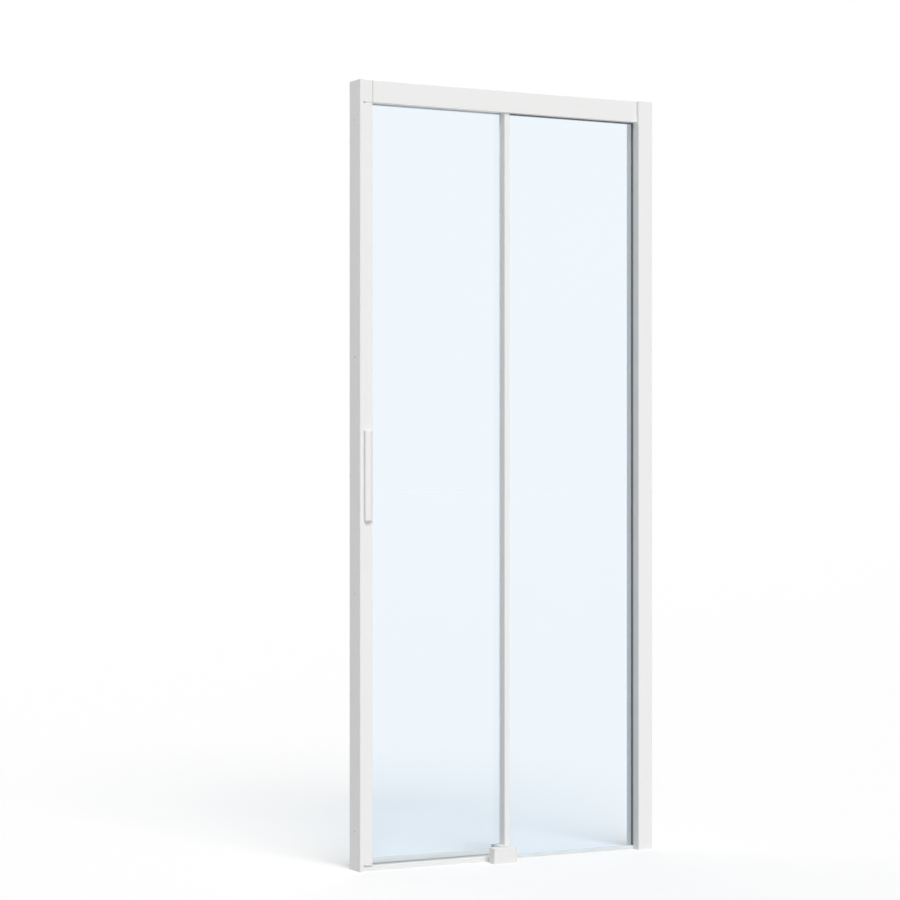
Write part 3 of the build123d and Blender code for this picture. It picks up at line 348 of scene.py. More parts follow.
coat_upright = finish("white_coat_upright", COATING_GRAIN, WHITE, ALONG_Z, 700.0, 0.02, 0.38, 0.10, 0.10)
coat_level = finish("white_coat_level", COATING_GRAIN, WHITE, ALONG_X, 700.0, 0.02, 0.38, 0.10, 0.10)
white_plastic = finish("white_moulding", MOULDED_GRAIN, (0.86, 0.86, 0.85), EVEN, 1600.0, 0.02, 0.46, 0.08, 0.15)
handle_coat = finish(
    "satin_grip_coat", COATING_GRAIN, (0.91, 0.90, 0.90), ALONG_Z, 900.0, 0.02, 0.50, 0.08, 0.06,
    Specular_IOR_Level=0.2,
)
print("white finishes:", coat_upright.name, coat_level.name, white_plastic.name, handle_coat.name)

# %% [markdown]
# ## Rubber, vinyl, nylon and steel
# The panes sit in matt grey rubber, which is what draws the thin dark line round each pane. The magnet strips
# are a pale soft extrusion, the wheels and carriages are nylon, and every screw and axle is stainless steel.
# Soft vinyl is milky where it is doubled over the pane's edge, so it is a pale, slightly blue plastic with a thin
# glossy coat rather than a second sheet of glass.

# %% Rubber and nylon
gasket_rubber = finish("glazing_rubber", DRAWN_LINES, (0.155, 0.155, 0.16), ALONG_Z, 1800.0, 0.08, 0.62, 0.12, 0.20)
magnet_rubber = finish(
    "magnet_strip_rubber", DRAWN_LINES, (0.72, 0.72, 0.71), ALONG_Z, 1200.0, 0.04, 0.50, 0.10, 0.15,
)
buffer_rubber = finish("buffer_rubber", MOULDED_GRAIN, (0.03, 0.03, 0.03), EVEN, 1400.0, 0.10, 0.65, 0.10, 0.20)
nylon = finish("grey_nylon", MOULDED_GRAIN, (0.55, 0.56, 0.57), EVEN, 1500.0, 0.05, 0.48, 0.10, 0.15)
tyre_nylon = finish("tyre_acetal", MOULDED_GRAIN, (0.80, 0.80, 0.78), EVEN, 2200.0, 0.03, 0.30, 0.08, 0.05)
steel = finish(
    "stainless_steel", DRAWN_LINES, (0.56, 0.57, 0.58), ALONG_Z, 2500.0, 0.05, 0.32, 0.14, 0.10, Metallic=1.0,
)
print("dark and grey finishes ready")

# %% Soft vinyl
clear_vinyl = finish(
    "clear_vinyl", DRAWN_LINES, (0.76, 0.80, 0.81), ALONG_X, 900.0, 0.04, 0.22, 0.08, 0.08,
    Coat_Weight=0.3, Coat_Roughness=0.15,
)
print("vinyl", clear_vinyl.name)

# %% [markdown]
# ## Glass
# Each pane is a closed slab, 6 mm thick, so the ray tracer can bend light in and out of it as real glass does.
# The Principled shader tints light by the square root of its colour at each face, so one pane shows its base
# colour: a very pale blue. Along the ground edges light runs a long way through the glass, and they look
# deeper and greener. The edges are found by their normals, which point along X or Z and not along Y.
# Light from lamps has to reach what stands behind the pane, and a glass shader would stop it. So for shadow
# and diffuse rays the pane is a tinted transparent sheet instead.

# %% Pane glass
PANE_TINT = (0.862, 0.930, 0.988, 1)
EDGE_TINT = (0.36, 0.56, 0.55, 1)


def pane_glass():
    material = bpy.data.materials.new("pane_glass")
    material.use_nodes = True
    tree = material.node_tree
    tree.nodes.clear()
    normal = add_node(tree, "ShaderNodeNewGeometry").outputs["Normal"]
    facing = add_node(tree, "ShaderNodeSeparateXYZ", {0: normal}).outputs["Y"]
    edge = arithmetic(tree, "LESS_THAN", arithmetic(tree, "ABSOLUTE", facing, 0.0), 0.5)
    place = add_node(tree, "ShaderNodeTexCoord").outputs["Object"]
    cloud = noise(tree, place, 1.6)
    tint = add_node(tree, "ShaderNodeMix", {0: edge, 6: PANE_TINT, 7: EDGE_TINT}, data_type="RGBA").outputs[2]
    color = shaded(tree, tint, cloud, 0.012)
    roughness = arithmetic(tree, "MULTIPLY", edge, 0.25)
    glass = add_node(tree, "ShaderNodeBsdfPrincipled", {
        "Base Color": color, "Roughness": roughness, "IOR": 1.5, "Transmission Weight": 1.0,
    })
    sheet = add_node(tree, "ShaderNodeBsdfTransparent", {"Color": (0.86, 0.90, 0.93, 1)})
    path = add_node(tree, "ShaderNodeLightPath").outputs
    light_ray = arithmetic(tree, "MAXIMUM", path["Is Shadow Ray"], path["Is Diffuse Ray"])
    mixed = add_node(tree, "ShaderNodeMixShader", {0: light_ray, 1: glass.outputs[0], 2: sheet.outputs[0]})
    add_node(tree, "ShaderNodeOutputMaterial", {"Surface": mixed.outputs[0]})
    return material


glass = pane_glass()
print("glass tint", PANE_TINT[:3])

# %% [markdown]
# ## Giving the CAD parts their finishes
# A CAD part whose shape is right stays as it is and gets a finish through its material slots. The dictionary
# names every part once, grouped by finish, and the last line checks that none was forgotten.

# %% Dress the CAD parts
PARTS_BY_FINISH = {
    coat_upright: ["wall_profile_left", "strike_profile", "wall_profile_right", "glazing_profile_right",
                   "fixed_stile", "closing_stile"],
    coat_level: ["header_rail", "leaf_top_rail", "threshold_strip"],
    white_plastic: ["header_end_cap", "stile_end_caps", "guide_block", "guide_cover", "clamp_screw_caps"],
    handle_coat: ["handle_outer", "handle_inner"],
    glass: ["fixed_glass", "leaf_glass"],
    clear_vinyl: ["trailing_seal", "drip_seal", "sill_gasket", "overlap_seal"],
    gasket_rubber: ["glazing_gasket_right", "glazing_gasket_top", "stile_gasket", "closing_stile_gasket",
                    "top_rail_gasket", "header_joint_gasket"],
    magnet_rubber: ["strike_magnet_strip", "leaf_magnet_seal"],
    nylon: ["header_connector_left", "header_connector_right", "stile_plugs", "carriage_left",
            "carriage_right", "end_stop_left", "end_stop_right", "guide_shoe"],
    buffer_rubber: ["stop_buffers"],
    steel: ["clamp_screws", "header_screws", "connector_screws", "stile_screws", "stop_screws",
            "handle_bolts", "roller_axles", "height_adjusters",
            *(f"roller_bearing_{number}" for number in range(1, 5))],
    tyre_nylon: [f"roller_tyre_{number}" for number in range(1, 5)],
}


def dress(part, material):
    """Puts one material in every slot of a CAD part."""
    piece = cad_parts[part]
    if not piece.material_slots:
        piece.data.materials.append(material)
    for holder in piece.material_slots:
        holder.material = material


for material, parts in PARTS_BY_FINISH.items():
    for part in parts:
        dress(part, material)
dressed = {part for parts in PARTS_BY_FINISH.values() for part in parts}
print(len(dressed), "parts dressed, forgotten:", sorted(set(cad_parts) - dressed))

# %% [markdown]
# ## From arrays to a mesh
# Every new piece is a grid of points: rows along the piece and columns round its section. Numpy works out all
# the points at once, and the faces are only the four corners of each cell. Where rows or columns close on
# themselves, the last cell goes back to the first. Points that fall together at a pole or a seam are merged,
# and then all faces are turned outwards, which needs the closed shape.

# %% Grid to mesh
MILLIMETRE = 0.001
MERGE_WITHIN = 1e-6


def grid_cells(rows, columns, rows_close=False, columns_close=True):
    """The four corner numbers of each cell in a grid of points that is stored row by row."""
    i = np.arange(rows if rows_close else rows - 1)[:, None]
    j = np.arange(columns if columns_close else columns - 1)[None, :]
    below, after = (i + 1) % rows, (j + 1) % columns
    corners = [i * columns + j, i * columns + after, below * columns + after, below * columns + j]
    return np.stack(corners, -1).reshape(-1, 4)


def make_piece(name, points, faces, material, body, slot, replaced, crease=35):
    """A mesh from arrays, cleaned, shaded smooth up to the crease angle, attached to its body, with the CAD node it
    replaces hidden.
    """
    mesh = bpy.data.meshes.new(name)
    mesh.from_pydata(np.reshape(points, (-1, 3)).tolist(), [], [list(map(int, face)) for face in faces])
    work = bmesh.new()
    work.from_mesh(mesh)
    bmesh.ops.remove_doubles(work, verts=work.verts, dist=MERGE_WITHIN)
    bmesh.ops.recalc_face_normals(work, faces=work.faces)
    work.to_mesh(mesh)
    work.free()
    mesh.polygons.foreach_set("use_smooth", np.ones(len(mesh.polygons), dtype=bool))
    mesh.set_sharp_from_angle(angle=radians(crease))
    mesh.materials.append(material)
    piece = bpy.data.objects.new(name, mesh)
    bpy.context.scene.collection.objects.link(piece)
    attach(piece, body)
    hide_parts(replaced)
    print(name, "has", len(mesh.polygons), "faces")
    return piece


# %% A section carried along a line
def carried(outline, along, start, end, stations=2):
    """Point (s, k) = outline point k in the two cross axes, and start + s (end - start) along the third axis.
    The outline is a closed loop, and one face with all its points closes each end."""
    cross = [axis for axis in range(3) if axis != along]
    points = np.empty((stations, len(outline), 3))
    points[..., cross] = outline
    points[..., along] = np.linspace(start, end, stations)[:, None]
    last = (stations - 1) * len(outline)
    ends = [np.arange(len(outline)), last + np.arange(len(outline))]
    return points, [*grid_cells(stations, len(outline)), *ends]


def soft_corners(corners, radius, steps=4):
    """A closed outline with rounded corners. A and B lie a radius before and after the corner C on its two
    edges, and the curve is (1 - t)^2 A + 2 t (1 - t) C + t^2 B for t from 0 to 1."""
    corners = np.asarray(corners, float)
    t = np.linspace(0, 1, steps + 1)[None, :, None]

    def reach(edges):
        length = np.linalg.norm(edges, axis=1, keepdims=True)
        return corners + edges / length * np.minimum(radius, 0.45 * length)

    before, after = reach(np.roll(corners, 1, 0) - corners), reach(np.roll(corners, -1, 0) - corners)
    curve = (1 - t) ** 2 * before[:, None] + 2 * t * (1 - t) * corners[:, None] + t ** 2 * after[:, None]
    return curve.reshape(-1, 2)


print("sections can be carried and rounded")

# %% [markdown]
# ## Glazing gaskets
# A pane is never held by metal: a rubber channel sits in the slot, its inner walls rippled so that they grip,
# and a soft bead stands out of the slot and lies on the glass. From outside only the bead shows, as the dark
# line between white profile and pane. A box with a hole would miss it, so the section is drawn as a curve.

# %% The gasket's section
PANE = 6.0 * MILLIMETRE
CLEAR = 0.03 * MILLIMETRE
RIPPLE = 0.35 * MILLIMETRE
RIPPLE_PITCH = 2.2 * MILLIMETRE
BEAD_OVERHANG = 0.8 * MILLIMETRE


def gasket_section(depth, wall, bead):
    """Points (d, w): d goes from the mouth into the slot and w across the pane.
    Inner wall: w = pane / 2 + ripple sin^2(pi d / pitch). Bead: half an oval, d = -bead sin a, w from the
    pane out to past the slot's edge as a goes from 180 to 0 degrees. The other half is its mirror image."""
    face, outside = PANE / 2 + CLEAR, PANE / 2 + wall - CLEAR
    d = np.linspace(depth - wall, 0.0, 28)
    inner = np.stack([d, face + RIPPLE * np.sin(np.pi * d / RIPPLE_PITCH) ** 2], 1)
    angle = np.linspace(np.pi, 0, 13)
    half_width = (outside + BEAD_OVERHANG - face) / 2
    oval = np.stack([-CLEAR - bead * np.sin(angle), face + half_width * (1 + np.cos(angle))], 1)
    outer = np.array([(-CLEAR, outside), (depth - CLEAR, outside)])
    half = np.concatenate([inner, oval, outer])
    return np.concatenate([half, half[::-1] * (1, -1)])


print("gasket section has", len(gasket_section(0.012, 0.001, 0.0025)), "points")

# %% Put a gasket in each slot
X, Y, Z = range(3)


def gasket(node, body, along, into, inward, bead, shorten=0.0):
    """Fills the CAD gasket's box. along is its long axis, into the axis that goes into the slot, and inward that
    axis's sign."""
    low, high = (np.array(corner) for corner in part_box(node))
    mouth = low[into] if inward > 0 else high[into]
    d, w = gasket_section(high[into] - low[into], (high[Y] - low[Y] - PANE) / 2, bead).T
    across = (low[Y] + high[Y]) / 2 + w
    deep = mouth + inward * d
    outline = np.stack([deep, across] if into == X else [across, deep], 1)
    points, faces = carried(outline, along, low[along] + shorten, high[along] - shorten)
    return make_piece(node + "_bead", points, faces, gasket_rubber, body, "grey_gasket", node)


BEAD = 2.6 * MILLIMETRE
gasket("glazing_gasket_right", "frame", Z, X, 1, BEAD)
gasket("glazing_gasket_top", "frame", X, Z, 1, BEAD, BEAD + CLEAR)
gasket("stile_gasket", "frame", Z, X, -1, BEAD)
gasket("closing_stile_gasket", "leaf", Z, X, -1, BEAD)
gasket("top_rail_gasket", "leaf", X, Z, 1, BEAD / 2)

# %% [markdown]
# ## Lip seals
# Water is kept in by thin lips: one on the back of the fixed stile, one on the leaf's trailing edge, a fin
# under the leaf, and the clear channel in which the fixed pane stands. In the CAD they are plain angles. Real
# ones are extruded with a thinning, curved lip and flared edges, so each section is drawn by its corners, and
# all corners are rounded. The lips stay a hair off what they wipe.

# %% Bend a lip
def lip(root, tip, bulge, root_thickness, tip_thickness, steps=9):
    """The outline of a curved lip, down one side and back up the other. Its centre line is the curve
    (1 - t)^2 root + 2 t (1 - t) knee + t^2 tip, where the knee lies beside the middle by the bulge,
    and its thickness falls evenly from root to tip."""
    root, tip = np.asarray(root, float), np.asarray(tip, float)
    side = np.array([-(tip - root)[1], (tip - root)[0]]) / np.linalg.norm(tip - root)
    knee = (root + tip) / 2 + side * bulge
    t = np.linspace(0, 1, steps)[:, None]
    centre = (1 - t) ** 2 * root + 2 * t * (1 - t) * knee + t ** 2 * tip
    slope = 2 * (1 - t) * (knee - root) + 2 * t * (tip - knee)
    normal = np.stack([-slope[:, 1], slope[:, 0]], 1) / np.linalg.norm(slope, axis=1, keepdims=True)
    half = (root_thickness + (tip_thickness - root_thickness) * t) / 2
    return np.concatenate([centre + normal * half, (centre - normal * half)[::-1]])


def seal(node, outline_mm, along, material, body, slot):
    """Carries an outline in millimetres along the CAD seal's own length."""
    low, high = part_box(node)
    points, faces = carried(outline_mm * MILLIMETRE, along, low[along], high[along])
    return make_piece(node + "_lip", points, faces, material, body, slot, node)


print("lips bend")

# %% Overlap seal on the fixed stile
STILE_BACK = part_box("fixed_stile")[1].y / MILLIMETRE
foot_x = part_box("overlap_seal")[0].x / MILLIMETRE
LEAF_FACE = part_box("leaf_glass")[0].y / MILLIMETRE
overlap = np.concatenate([
    lip((foot_x + 1.6, STILE_BACK + 1.0), (foot_x - 1.6, LEAF_FACE - 0.5), 0.5, 1.5, 0.7)[::-1],
    [(foot_x + 0.1, STILE_BACK + 0.9), (foot_x, STILE_BACK + 0.05), (foot_x + 6.0, STILE_BACK + 0.05),
     (foot_x + 5.8, STILE_BACK + 1.0)],
])
seal("overlap_seal", overlap, Z, clear_vinyl, "frame", "clear_seal")

# %% Trailing seal on the leaf
PANE_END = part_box("leaf_glass")[1].x / MILLIMETRE
LEAF_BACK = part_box("leaf_glass")[1].y / MILLIMETRE
FIXED_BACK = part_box("fixed_glass")[1].y / MILLIMETRE
trailing = np.concatenate([
    soft_corners([
        (PANE_END - 7.8, LEAF_BACK + 0.03), (PANE_END - 7.8, LEAF_BACK + 0.9), (PANE_END - 6.8, LEAF_BACK + 1.2),
        (PANE_END + 1.2, LEAF_BACK + 1.2), (PANE_END + 1.2, LEAF_FACE - 1.2), (PANE_END - 3.4, LEAF_FACE - 1.2),
    ], 0.6),
    lip((PANE_END - 4.2, LEAF_FACE - 1.2), (PANE_END - 6.4, FIXED_BACK + 0.8), -0.8, 1.2, 0.6)[::-1],
    soft_corners([
        (PANE_END - 6.8, LEAF_FACE - 1.2), (PANE_END - 7.8, LEAF_FACE - 0.9), (PANE_END - 7.8, LEAF_FACE - 0.03),
        (PANE_END + 0.03, LEAF_FACE - 0.03), (PANE_END + 0.03, LEAF_BACK + 0.03),
    ], 0.25),
])
seal("trailing_seal", trailing, Z, clear_vinyl, "leaf", "clear_seal")

# %% Drip seal under the leaf
PANE_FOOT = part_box("leaf_glass")[0].z / MILLIMETRE
FIN_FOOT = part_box("drip_seal")[0].z / MILLIMETRE
middle = (LEAF_FACE + LEAF_BACK) / 2
drip = np.concatenate([
    soft_corners([
        (LEAF_BACK + 0.03, PANE_FOOT + 12.0), (LEAF_BACK + 0.9, PANE_FOOT + 12.0),
        (LEAF_BACK + 1.2, PANE_FOOT + 11.0), (LEAF_BACK + 1.2, PANE_FOOT - 1.2), (middle + 0.6, PANE_FOOT - 1.2),
    ], 0.5),
    lip((middle, PANE_FOOT - 1.2), (middle + 1.6, FIN_FOOT + 0.1), -1.0, 1.2, 0.7),
    soft_corners([
        (LEAF_FACE - 1.2, PANE_FOOT - 1.2), (LEAF_FACE - 1.2, PANE_FOOT + 11.0),
        (LEAF_FACE - 0.9, PANE_FOOT + 12.0), (LEAF_FACE - 0.03, PANE_FOOT + 12.0),
        (LEAF_FACE - 0.03, PANE_FOOT - 0.03), (LEAF_BACK + 0.03, PANE_FOOT - 0.03),
    ], 0.3),
])
seal("drip_seal", drip, X, clear_vinyl, "leaf", "clear_seal")

# %% Sill channel under the fixed pane
FIXED_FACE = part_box("fixed_glass")[0].y / MILLIMETRE
FIXED_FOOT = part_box("fixed_glass")[0].z / MILLIMETRE
SILL_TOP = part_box("sill_gasket")[1].z / MILLIMETRE
sill = soft_corners([
    (FIXED_FACE - 1.5, 0.05), (FIXED_FACE - 1.5, SILL_TOP - 3.0), (FIXED_FACE - 0.9, SILL_TOP),
    (FIXED_FACE - 0.03, SILL_TOP - 0.4), (FIXED_FACE - 0.03, FIXED_FOOT - 0.03),
    (FIXED_BACK + 0.03, FIXED_FOOT - 0.03),
    (FIXED_BACK + 0.03, SILL_TOP - 0.4), (FIXED_BACK + 0.9, SILL_TOP), (FIXED_BACK + 1.5, SILL_TOP - 3.0),
    (FIXED_BACK + 1.5, 0.05),
], 0.35)
seal("sill_gasket", sill, X, clear_vinyl, "frame", "clear_seal")

# %% [markdown]
# ## Magnet strips
# The leaf closes against the left profile with two flexible magnet strips. Their meeting faces have fine
# grooves from the extruder, which show when the door is open. The groove is a squared sine over the width.

# %% Grooved strips
GROOVES = 9
GROOVE_DEPTH = 0.25 * MILLIMETRE


def magnet_strip(node, body, face_side):
    """Section: a strip whose free face is x = face - depth sin^2(n pi t) for t from 0 to 1 over its width."""
    low, high = (np.array(corner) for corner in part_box(node))
    face, back = (high[X] - CLEAR, low[X] + CLEAR) if face_side > 0 else (low[X] + CLEAR, high[X] - CLEAR)
    t = np.linspace(0, 1, 73)
    shoulder = 0.8 * MILLIMETRE * np.clip(1 - np.minimum(t, 1 - t) / 0.06, 0, 1) ** 2
    grooves = GROOVE_DEPTH * np.sin(GROOVES * np.pi * t) ** 2 + shoulder
    front = np.stack([face - face_side * grooves, low[Y] + (high[Y] - low[Y]) * t], 1)
    outline = np.concatenate([front, [(back, high[Y]), (back, low[Y])]])
    points, faces = carried(outline, Z, low[Z], high[Z])
    return make_piece(node + "_grooved", points, faces, magnet_rubber, body, "magnet_seal", node)


magnet_strip("strike_magnet_strip", "frame", 1)
magnet_strip("leaf_magnet_seal", "leaf", -1)

# %% [markdown]
# ## Handles
# The grip is an aluminium bar, flat against the stile and rounded at both ends. Seen from the front it is white
# near the closing side and falls off to grey towards the pane, so its section is lopsided: a steep quarter
# oval and a gentle one, which meet at a ridge. A cylinder with scaled ends would pinch them. Here the whole
# section shrinks by the same distance all round as it nears an end, as a round-nosed cutter would leave it.

# %% Lopsided grips
END_ROUND = 4.0 * MILLIMETRE
OVALNESS = 1.9
RIDGE = 0.16


def grip(node, outward):
    """Section at height z: |x / a|^p + |y / b|^p = 1 on the outer side, with x from the ridge. a is the steep
    width on one side and the gentle width on the other, and a and b are less an inset.
    The inset is R - sqrt(R^2 - (R - e)^2), where e is the distance to the nearer end, up to R."""
    low, high = (np.array(corner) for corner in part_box(node))
    width, depth = high[X] - low[X], high[Y] - low[Y] - CLEAR
    base = high[Y] if outward < 0 else low[Y]
    rise = END_ROUND * (1 - np.cos(np.linspace(0, np.pi / 2, 12)))
    straight = np.linspace(low[Z] + END_ROUND, high[Z] - END_ROUND, 40)[1:-1]
    z = np.concatenate([low[Z] + rise, straight, high[Z] - rise[::-1]])
    e = np.clip(np.minimum(z - low[Z], high[Z] - z), 0, END_ROUND)
    inset = (END_ROUND - np.sqrt(END_ROUND ** 2 - (END_ROUND - e) ** 2))[:, None]
    turn = np.linspace(0, np.pi, 65)
    across = np.sign(np.cos(turn)) * np.abs(np.cos(turn)) ** (2 / OVALNESS)
    out = np.abs(np.sin(turn)) ** (2 / OVALNESS)
    side_width = np.where(across > 0, width * (1 - RIDGE), width * RIDGE) - CLEAR
    points = np.empty((len(z), len(turn), 3))
    points[..., X] = low[X] + width * RIDGE + (side_width - inset) * across
    points[..., Y] = base + outward * (CLEAR + (depth - inset) * out)
    points[..., Z] = z[:, None]
    last = (len(z) - 1) * len(turn)
    faces = [*grid_cells(len(z), len(turn)), np.arange(len(turn)), last + np.arange(len(turn))]
    return make_piece(node + "_grip", points, faces, handle_coat, "leaf", "handle", node)


grip("handle_outer", -1)
grip("handle_inner", 1)

# %% [markdown]
# ## Turned parts
# Wheels, bearings, buffers, caps, axles and screws all come off a lathe or out of a round mould, so each is a
# profile that goes once round an axis: point (k, a) is the profile's radius times the cosine and sine of a.
# Many of them repeat, and a copy is the same array with another centre added, so one mesh holds them all.

# %% Turn a profile round an axis
def turned(profile, axis, centres, steps=48, ring=False):
    """Point (c, k, a) = centre c + radius k (cos a, sin a) in the two cross axes, and its own place on the axis.
    A ring's profile is a closed loop; any other starts and ends on the axis."""
    profile, centres = np.asarray(profile, float), np.atleast_2d(centres)
    angle = np.linspace(0, 2 * np.pi, steps, endpoint=False)
    first, second = [other for other in range(3) if other != axis]
    shape = np.zeros((len(profile), steps, 3))
    shape[..., first] = profile[:, :1] * np.cos(angle)
    shape[..., second] = profile[:, :1] * np.sin(angle)
    shape[..., axis] = profile[:, 1:]
    points = centres[:, None, None, :] + shape
    cells = grid_cells(len(profile), steps, rows_close=ring)
    offsets = np.arange(len(centres))[:, None, None] * len(profile) * steps
    return points, (cells + offsets).reshape(-1, 4)


print("profiles can be turned")

# %% Wheels and bearings
def wheel(number):
    """Tyre: r = R - crown (y / half)^2 with soft shoulders. Bearing: two rings with a recessed shield between."""
    low, high = (np.array(corner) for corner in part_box(f"roller_tyre_{number}"))
    centre, radius, half = (low + high) / 2, (high[Z] - low[Z]) / 2, (high[Y] - low[Y]) / 2
    y = np.linspace(-1, 1, 17)
    tread = np.stack([radius - 0.3 * MILLIMETRE * y ** 2 - 0.5 * MILLIMETRE * y ** 12, y * half * 0.97], 1)
    bore = 8.03 * MILLIMETRE
    flank = np.array([(9.9, 1.0), (9.5, 0.86), (8.7, 0.86), (8.4, 1.0)]) * (MILLIMETRE, half)
    profile = np.concatenate([tread, flank, [(bore, half), (bore, -half)], (flank * (1, -1))[::-1]])
    body, name = f"roller_{number}", f"roller_tyre_{number}"
    make_piece(name + "_crowned", *turned(profile, Y, centre, 64, ring=True), tyre_nylon, body, "roller_tyre", name)
    side = np.array([
        (7.97, 2.3), (7.8, 2.5), (6.9, 2.5), (6.8, 2.1), (4.0, 2.1), (3.9, 2.5), (2.8, 2.5), (2.57, 2.3),
    ])
    race = np.concatenate([side, (side * (1, -1))[::-1]]) * MILLIMETRE
    name = f"roller_bearing_{number}"
    make_piece(name + "_rings", *turned(race, Y, centre, 64, ring=True), steel, body, "steel", name)


for number in range(1, 5):
    wheel(number)

# %% Axles, buffers and caps
def middle_of(node):
    """The middle of a CAD part's box."""
    low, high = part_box(node)
    return (low + high) / 2


wheel_places = [middle_of(f"roller_tyre_{number}") for number in range(1, 5)]
axle_low, axle_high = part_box("roller_axles")
carriage_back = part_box("carriage_left")[1].y
tyre_low, tyre_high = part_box("roller_tyre_1")
axle_centres = np.array([(place.x, 0.0, place.z) for place in wheel_places])
WHEEL_GAP, AXLE_R, COLLAR_R = 0.3 * MILLIMETRE, 0.0025, 0.0040
shoulder_end, head_start = tyre_low.y - WHEEL_GAP, tyre_high.y + WHEEL_GAP
axle_profile = np.array([
    (0, axle_low.y), (0.0021, axle_low.y), (AXLE_R, axle_low.y + 0.0004), (AXLE_R, carriage_back),
    (COLLAR_R, carriage_back), (COLLAR_R, shoulder_end - 0.0003), (0.0037, shoulder_end), (AXLE_R, shoulder_end),
    (AXLE_R, head_start), (0.0037, head_start), (COLLAR_R, head_start + 0.0003), (COLLAR_R, axle_high.y - 0.0005),
    (0.0035, axle_high.y), (0.0012, axle_high.y), (0.0009, axle_high.y - 0.0006), (0, axle_high.y - 0.0007),
])
make_piece("roller_axles_turned", *turned(axle_profile, Y, axle_centres), steel, "leaf", "steel", "roller_axles")

buffer_low, buffer_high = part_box("stop_buffers")
buffer_mid = ((buffer_low.y + buffer_high.y) / 2, (buffer_low.z + buffer_high.z) / 2)
quarter = np.linspace(0, np.pi / 2, 12)
dome = np.stack([4 * np.cos(quarter), 1.6 + 2.4 * np.sin(quarter)], 1) * MILLIMETRE
bumper = np.concatenate([[(0, 0), (0.004, 0), (0.004, 0.0008), (0.0034, 0.0012)], dome])
left_points, left_faces = turned(bumper, X, (buffer_low.x, *buffer_mid))
right_points, _ = turned(bumper * (1, -1), X, (buffer_high.x, *buffer_mid))
both_points = np.stack([left_points, right_points])
both_faces = np.concatenate([left_faces, left_faces + left_points[..., 0].size])
make_piece("stop_buffers_domed", both_points, both_faces, buffer_rubber, "frame", "rubber", "stop_buffers")

# %% Caps over the clamping screws
cap_low, cap_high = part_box("clamp_screw_caps")
CAP_R = 4.5 * MILLIMETRE
MIDDLE_CAP_HEIGHT = 1.0
cap_x = (cap_low.x + CAP_R, cap_high.x - CAP_R)
cap_z = (cap_low.z + CAP_R, MIDDLE_CAP_HEIGHT, cap_high.z - CAP_R)
cap_centres = [(x, cap_low.y, z) for x in cap_x for z in cap_z]
height = cap_high.y - cap_low.y
RIM_WIDTH, RIM_HEIGHT, DOME = 0.9 * MILLIMETRE, 1.0 * MILLIMETRE, 0.5 * MILLIMETRE
rim = np.stack([
    CAP_R - RIM_WIDTH * (1 - np.cos(quarter)), height - DOME - RIM_HEIGHT * (1 - np.sin(quarter)),
], 1)
top = np.stack([np.linspace(CAP_R - RIM_WIDTH, 0, 12)[1:], np.zeros(11)], 1)
top[:, 1] = height - DOME * (top[:, 0] / CAP_R) ** 2
under = np.array([(0, 1.62), (3.32, 1.62), (3.32, 0.0), (4.5, 0.0)]) * MILLIMETRE
cap_profile = np.concatenate([under, rim, top])
make_piece("clamp_screw_caps_domed", *turned(cap_profile, Y, cap_centres), white_plastic, "frame", "white_plastic",
           "clamp_screw_caps")

# %% [markdown]
# ## Screws on top of the header
# Four countersunk screws show from above. A cross recess cut with booleans leaves ragged faces, so the head
# is one fine polar grid whose height is a formula: it drops inside the cross, and the cross is the set of
# points within the arm's half width of one axis and within the arm's length of the centre.

# %% Cross-recess heads
ARM_HALF, ARM_LENGTH = 0.55 * MILLIMETRE, 2.3 * MILLIMETRE
RECESS, SLOPE = 1.4 * MILLIMETRE, 0.25 * MILLIMETRE
FACE_RINGS = 34
screw_low, screw_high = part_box("header_screws")
HEAD_R, SHANK_R, CONE = 4.0 * MILLIMETRE, 2.0 * MILLIMETRE, 2.0 * MILLIMETRE
SCREW_Y = (screw_low.y + screw_high.y) / 2
first, last = screw_low.x + HEAD_R, screw_high.x - HEAD_R
SPACING = 16.0 * MILLIMETRE
screw_centres = [(x, SCREW_Y, 0.0) for x in (first, first + SPACING, last - SPACING, last)]
face_radii = np.linspace(0, HEAD_R - CLEAR, FACE_RINGS)
face = np.stack([face_radii, np.full(FACE_RINGS, screw_high.z - CLEAR)], 1)
body_profile = np.array([
    (HEAD_R - CLEAR, screw_high.z - CLEAR), (SHANK_R, screw_high.z - CONE), (SHANK_R, screw_low.z + 0.001),
    (SHANK_R - 0.0008, screw_low.z), (0, screw_low.z),
])
screw_points, screw_faces = turned(np.concatenate([face, body_profile]), Z, screw_centres, 96)
offset = np.abs(screw_points[:, :FACE_RINGS, :, :2] - np.array(screw_centres)[:, None, None, :2])
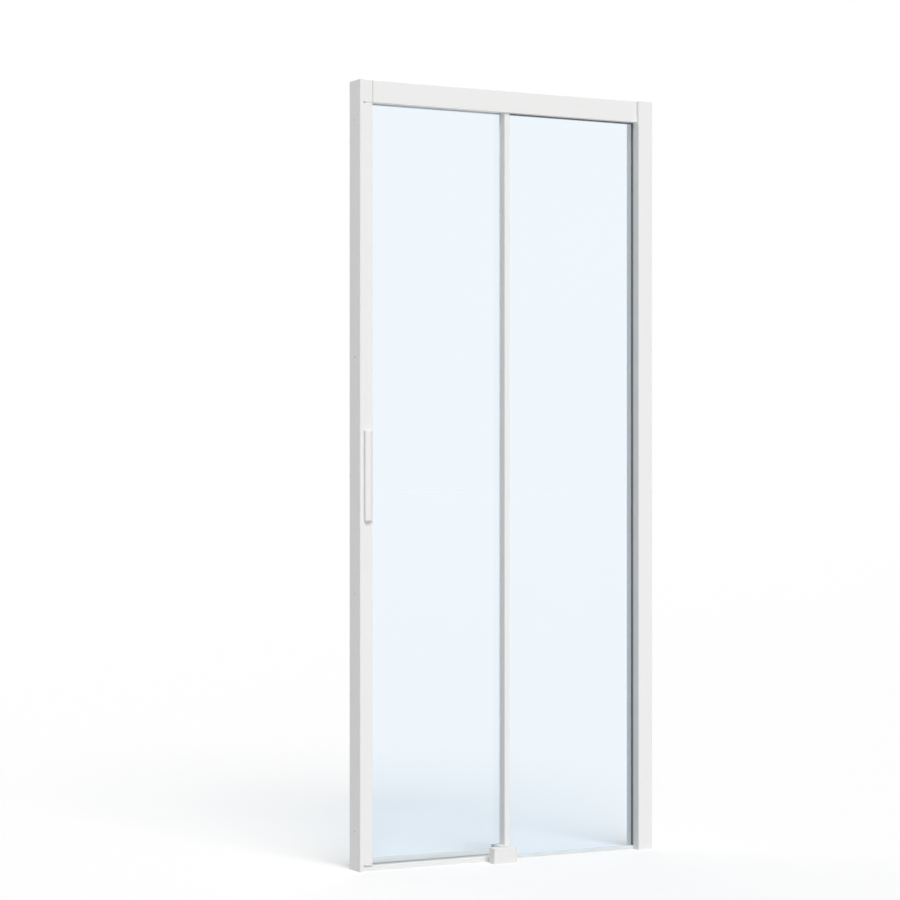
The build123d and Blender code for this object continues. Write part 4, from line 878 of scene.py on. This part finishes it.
outside_cross = np.maximum(offset.min(-1) - ARM_HALF, offset.max(-1) - ARM_LENGTH)
screw_points[:, :FACE_RINGS, :, 2] -= RECESS * np.clip(-outside_cross / SLOPE, 0, 1)
make_piece("header_screws_cross", screw_points, screw_faces, steel, "frame", "steel", "header_screws", crease=50)

# %% [markdown]
# ## Height adjusters
# A hexagon head stands on each carriage. Its radius goes round as the hexagon's own, which is the flat's
# distance divided by the cosine of the angle from the middle of that flat. The chamfer on top is a cone that
# cuts the six corners: there the radius is the smaller of the hexagon's and the cone's.

# %% Chamfered hexagons
adjuster_low, adjuster_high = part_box("height_adjusters")
CARRIAGE_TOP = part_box("carriage_left")[1].z
HALF_ACROSS = (adjuster_high.y - adjuster_low.y) / 2
CORNER_R = 4.5 * MILLIMETRE
flat_distance = CORNER_R * np.cos(np.pi / 6)
CORNER_FACES_Y = HALF_ACROSS > (CORNER_R + flat_distance) / 2
angle = np.linspace(0, 2 * np.pi, 96, endpoint=False)
first_corner = np.pi / 6 if CORNER_FACES_Y else 0.0
hexagon = flat_distance / np.cos((angle - first_corner) % (np.pi / 3) - np.pi / 6)
levels = np.array([
    (0, 0.0, 0), (1, 0.0, 9), (1, 2.2, 9), (1, 3.0, 3.9), (1, 3.0, 2.2), (1, 1.6, 2.0), (0, 1.6, 0),
])
limit = levels[:, 2:] * MILLIMETRE
radius = np.minimum(hexagon[None, :] * levels[:, :1], limit)
adjuster_x = [middle_of(f"carriage_{side}").x for side in ("left", "right")]
adjuster_y = (adjuster_low.y + adjuster_high.y) / 2
heads = np.empty((2, len(levels), len(angle), 3))
heads[..., X] = np.array(adjuster_x)[:, None, None] + radius * np.cos(angle)
heads[..., Y] = adjuster_y + radius * np.sin(angle)
heads[..., Z] = (CARRIAGE_TOP + levels[:, 1:2] * MILLIMETRE) + np.zeros(len(angle))
head_cells = grid_cells(len(levels), len(angle))
head_faces = np.concatenate([head_cells, head_cells + len(levels) * len(angle)])
make_piece("height_adjusters_hex", heads, head_faces, steel, "leaf", "steel", "height_adjusters")
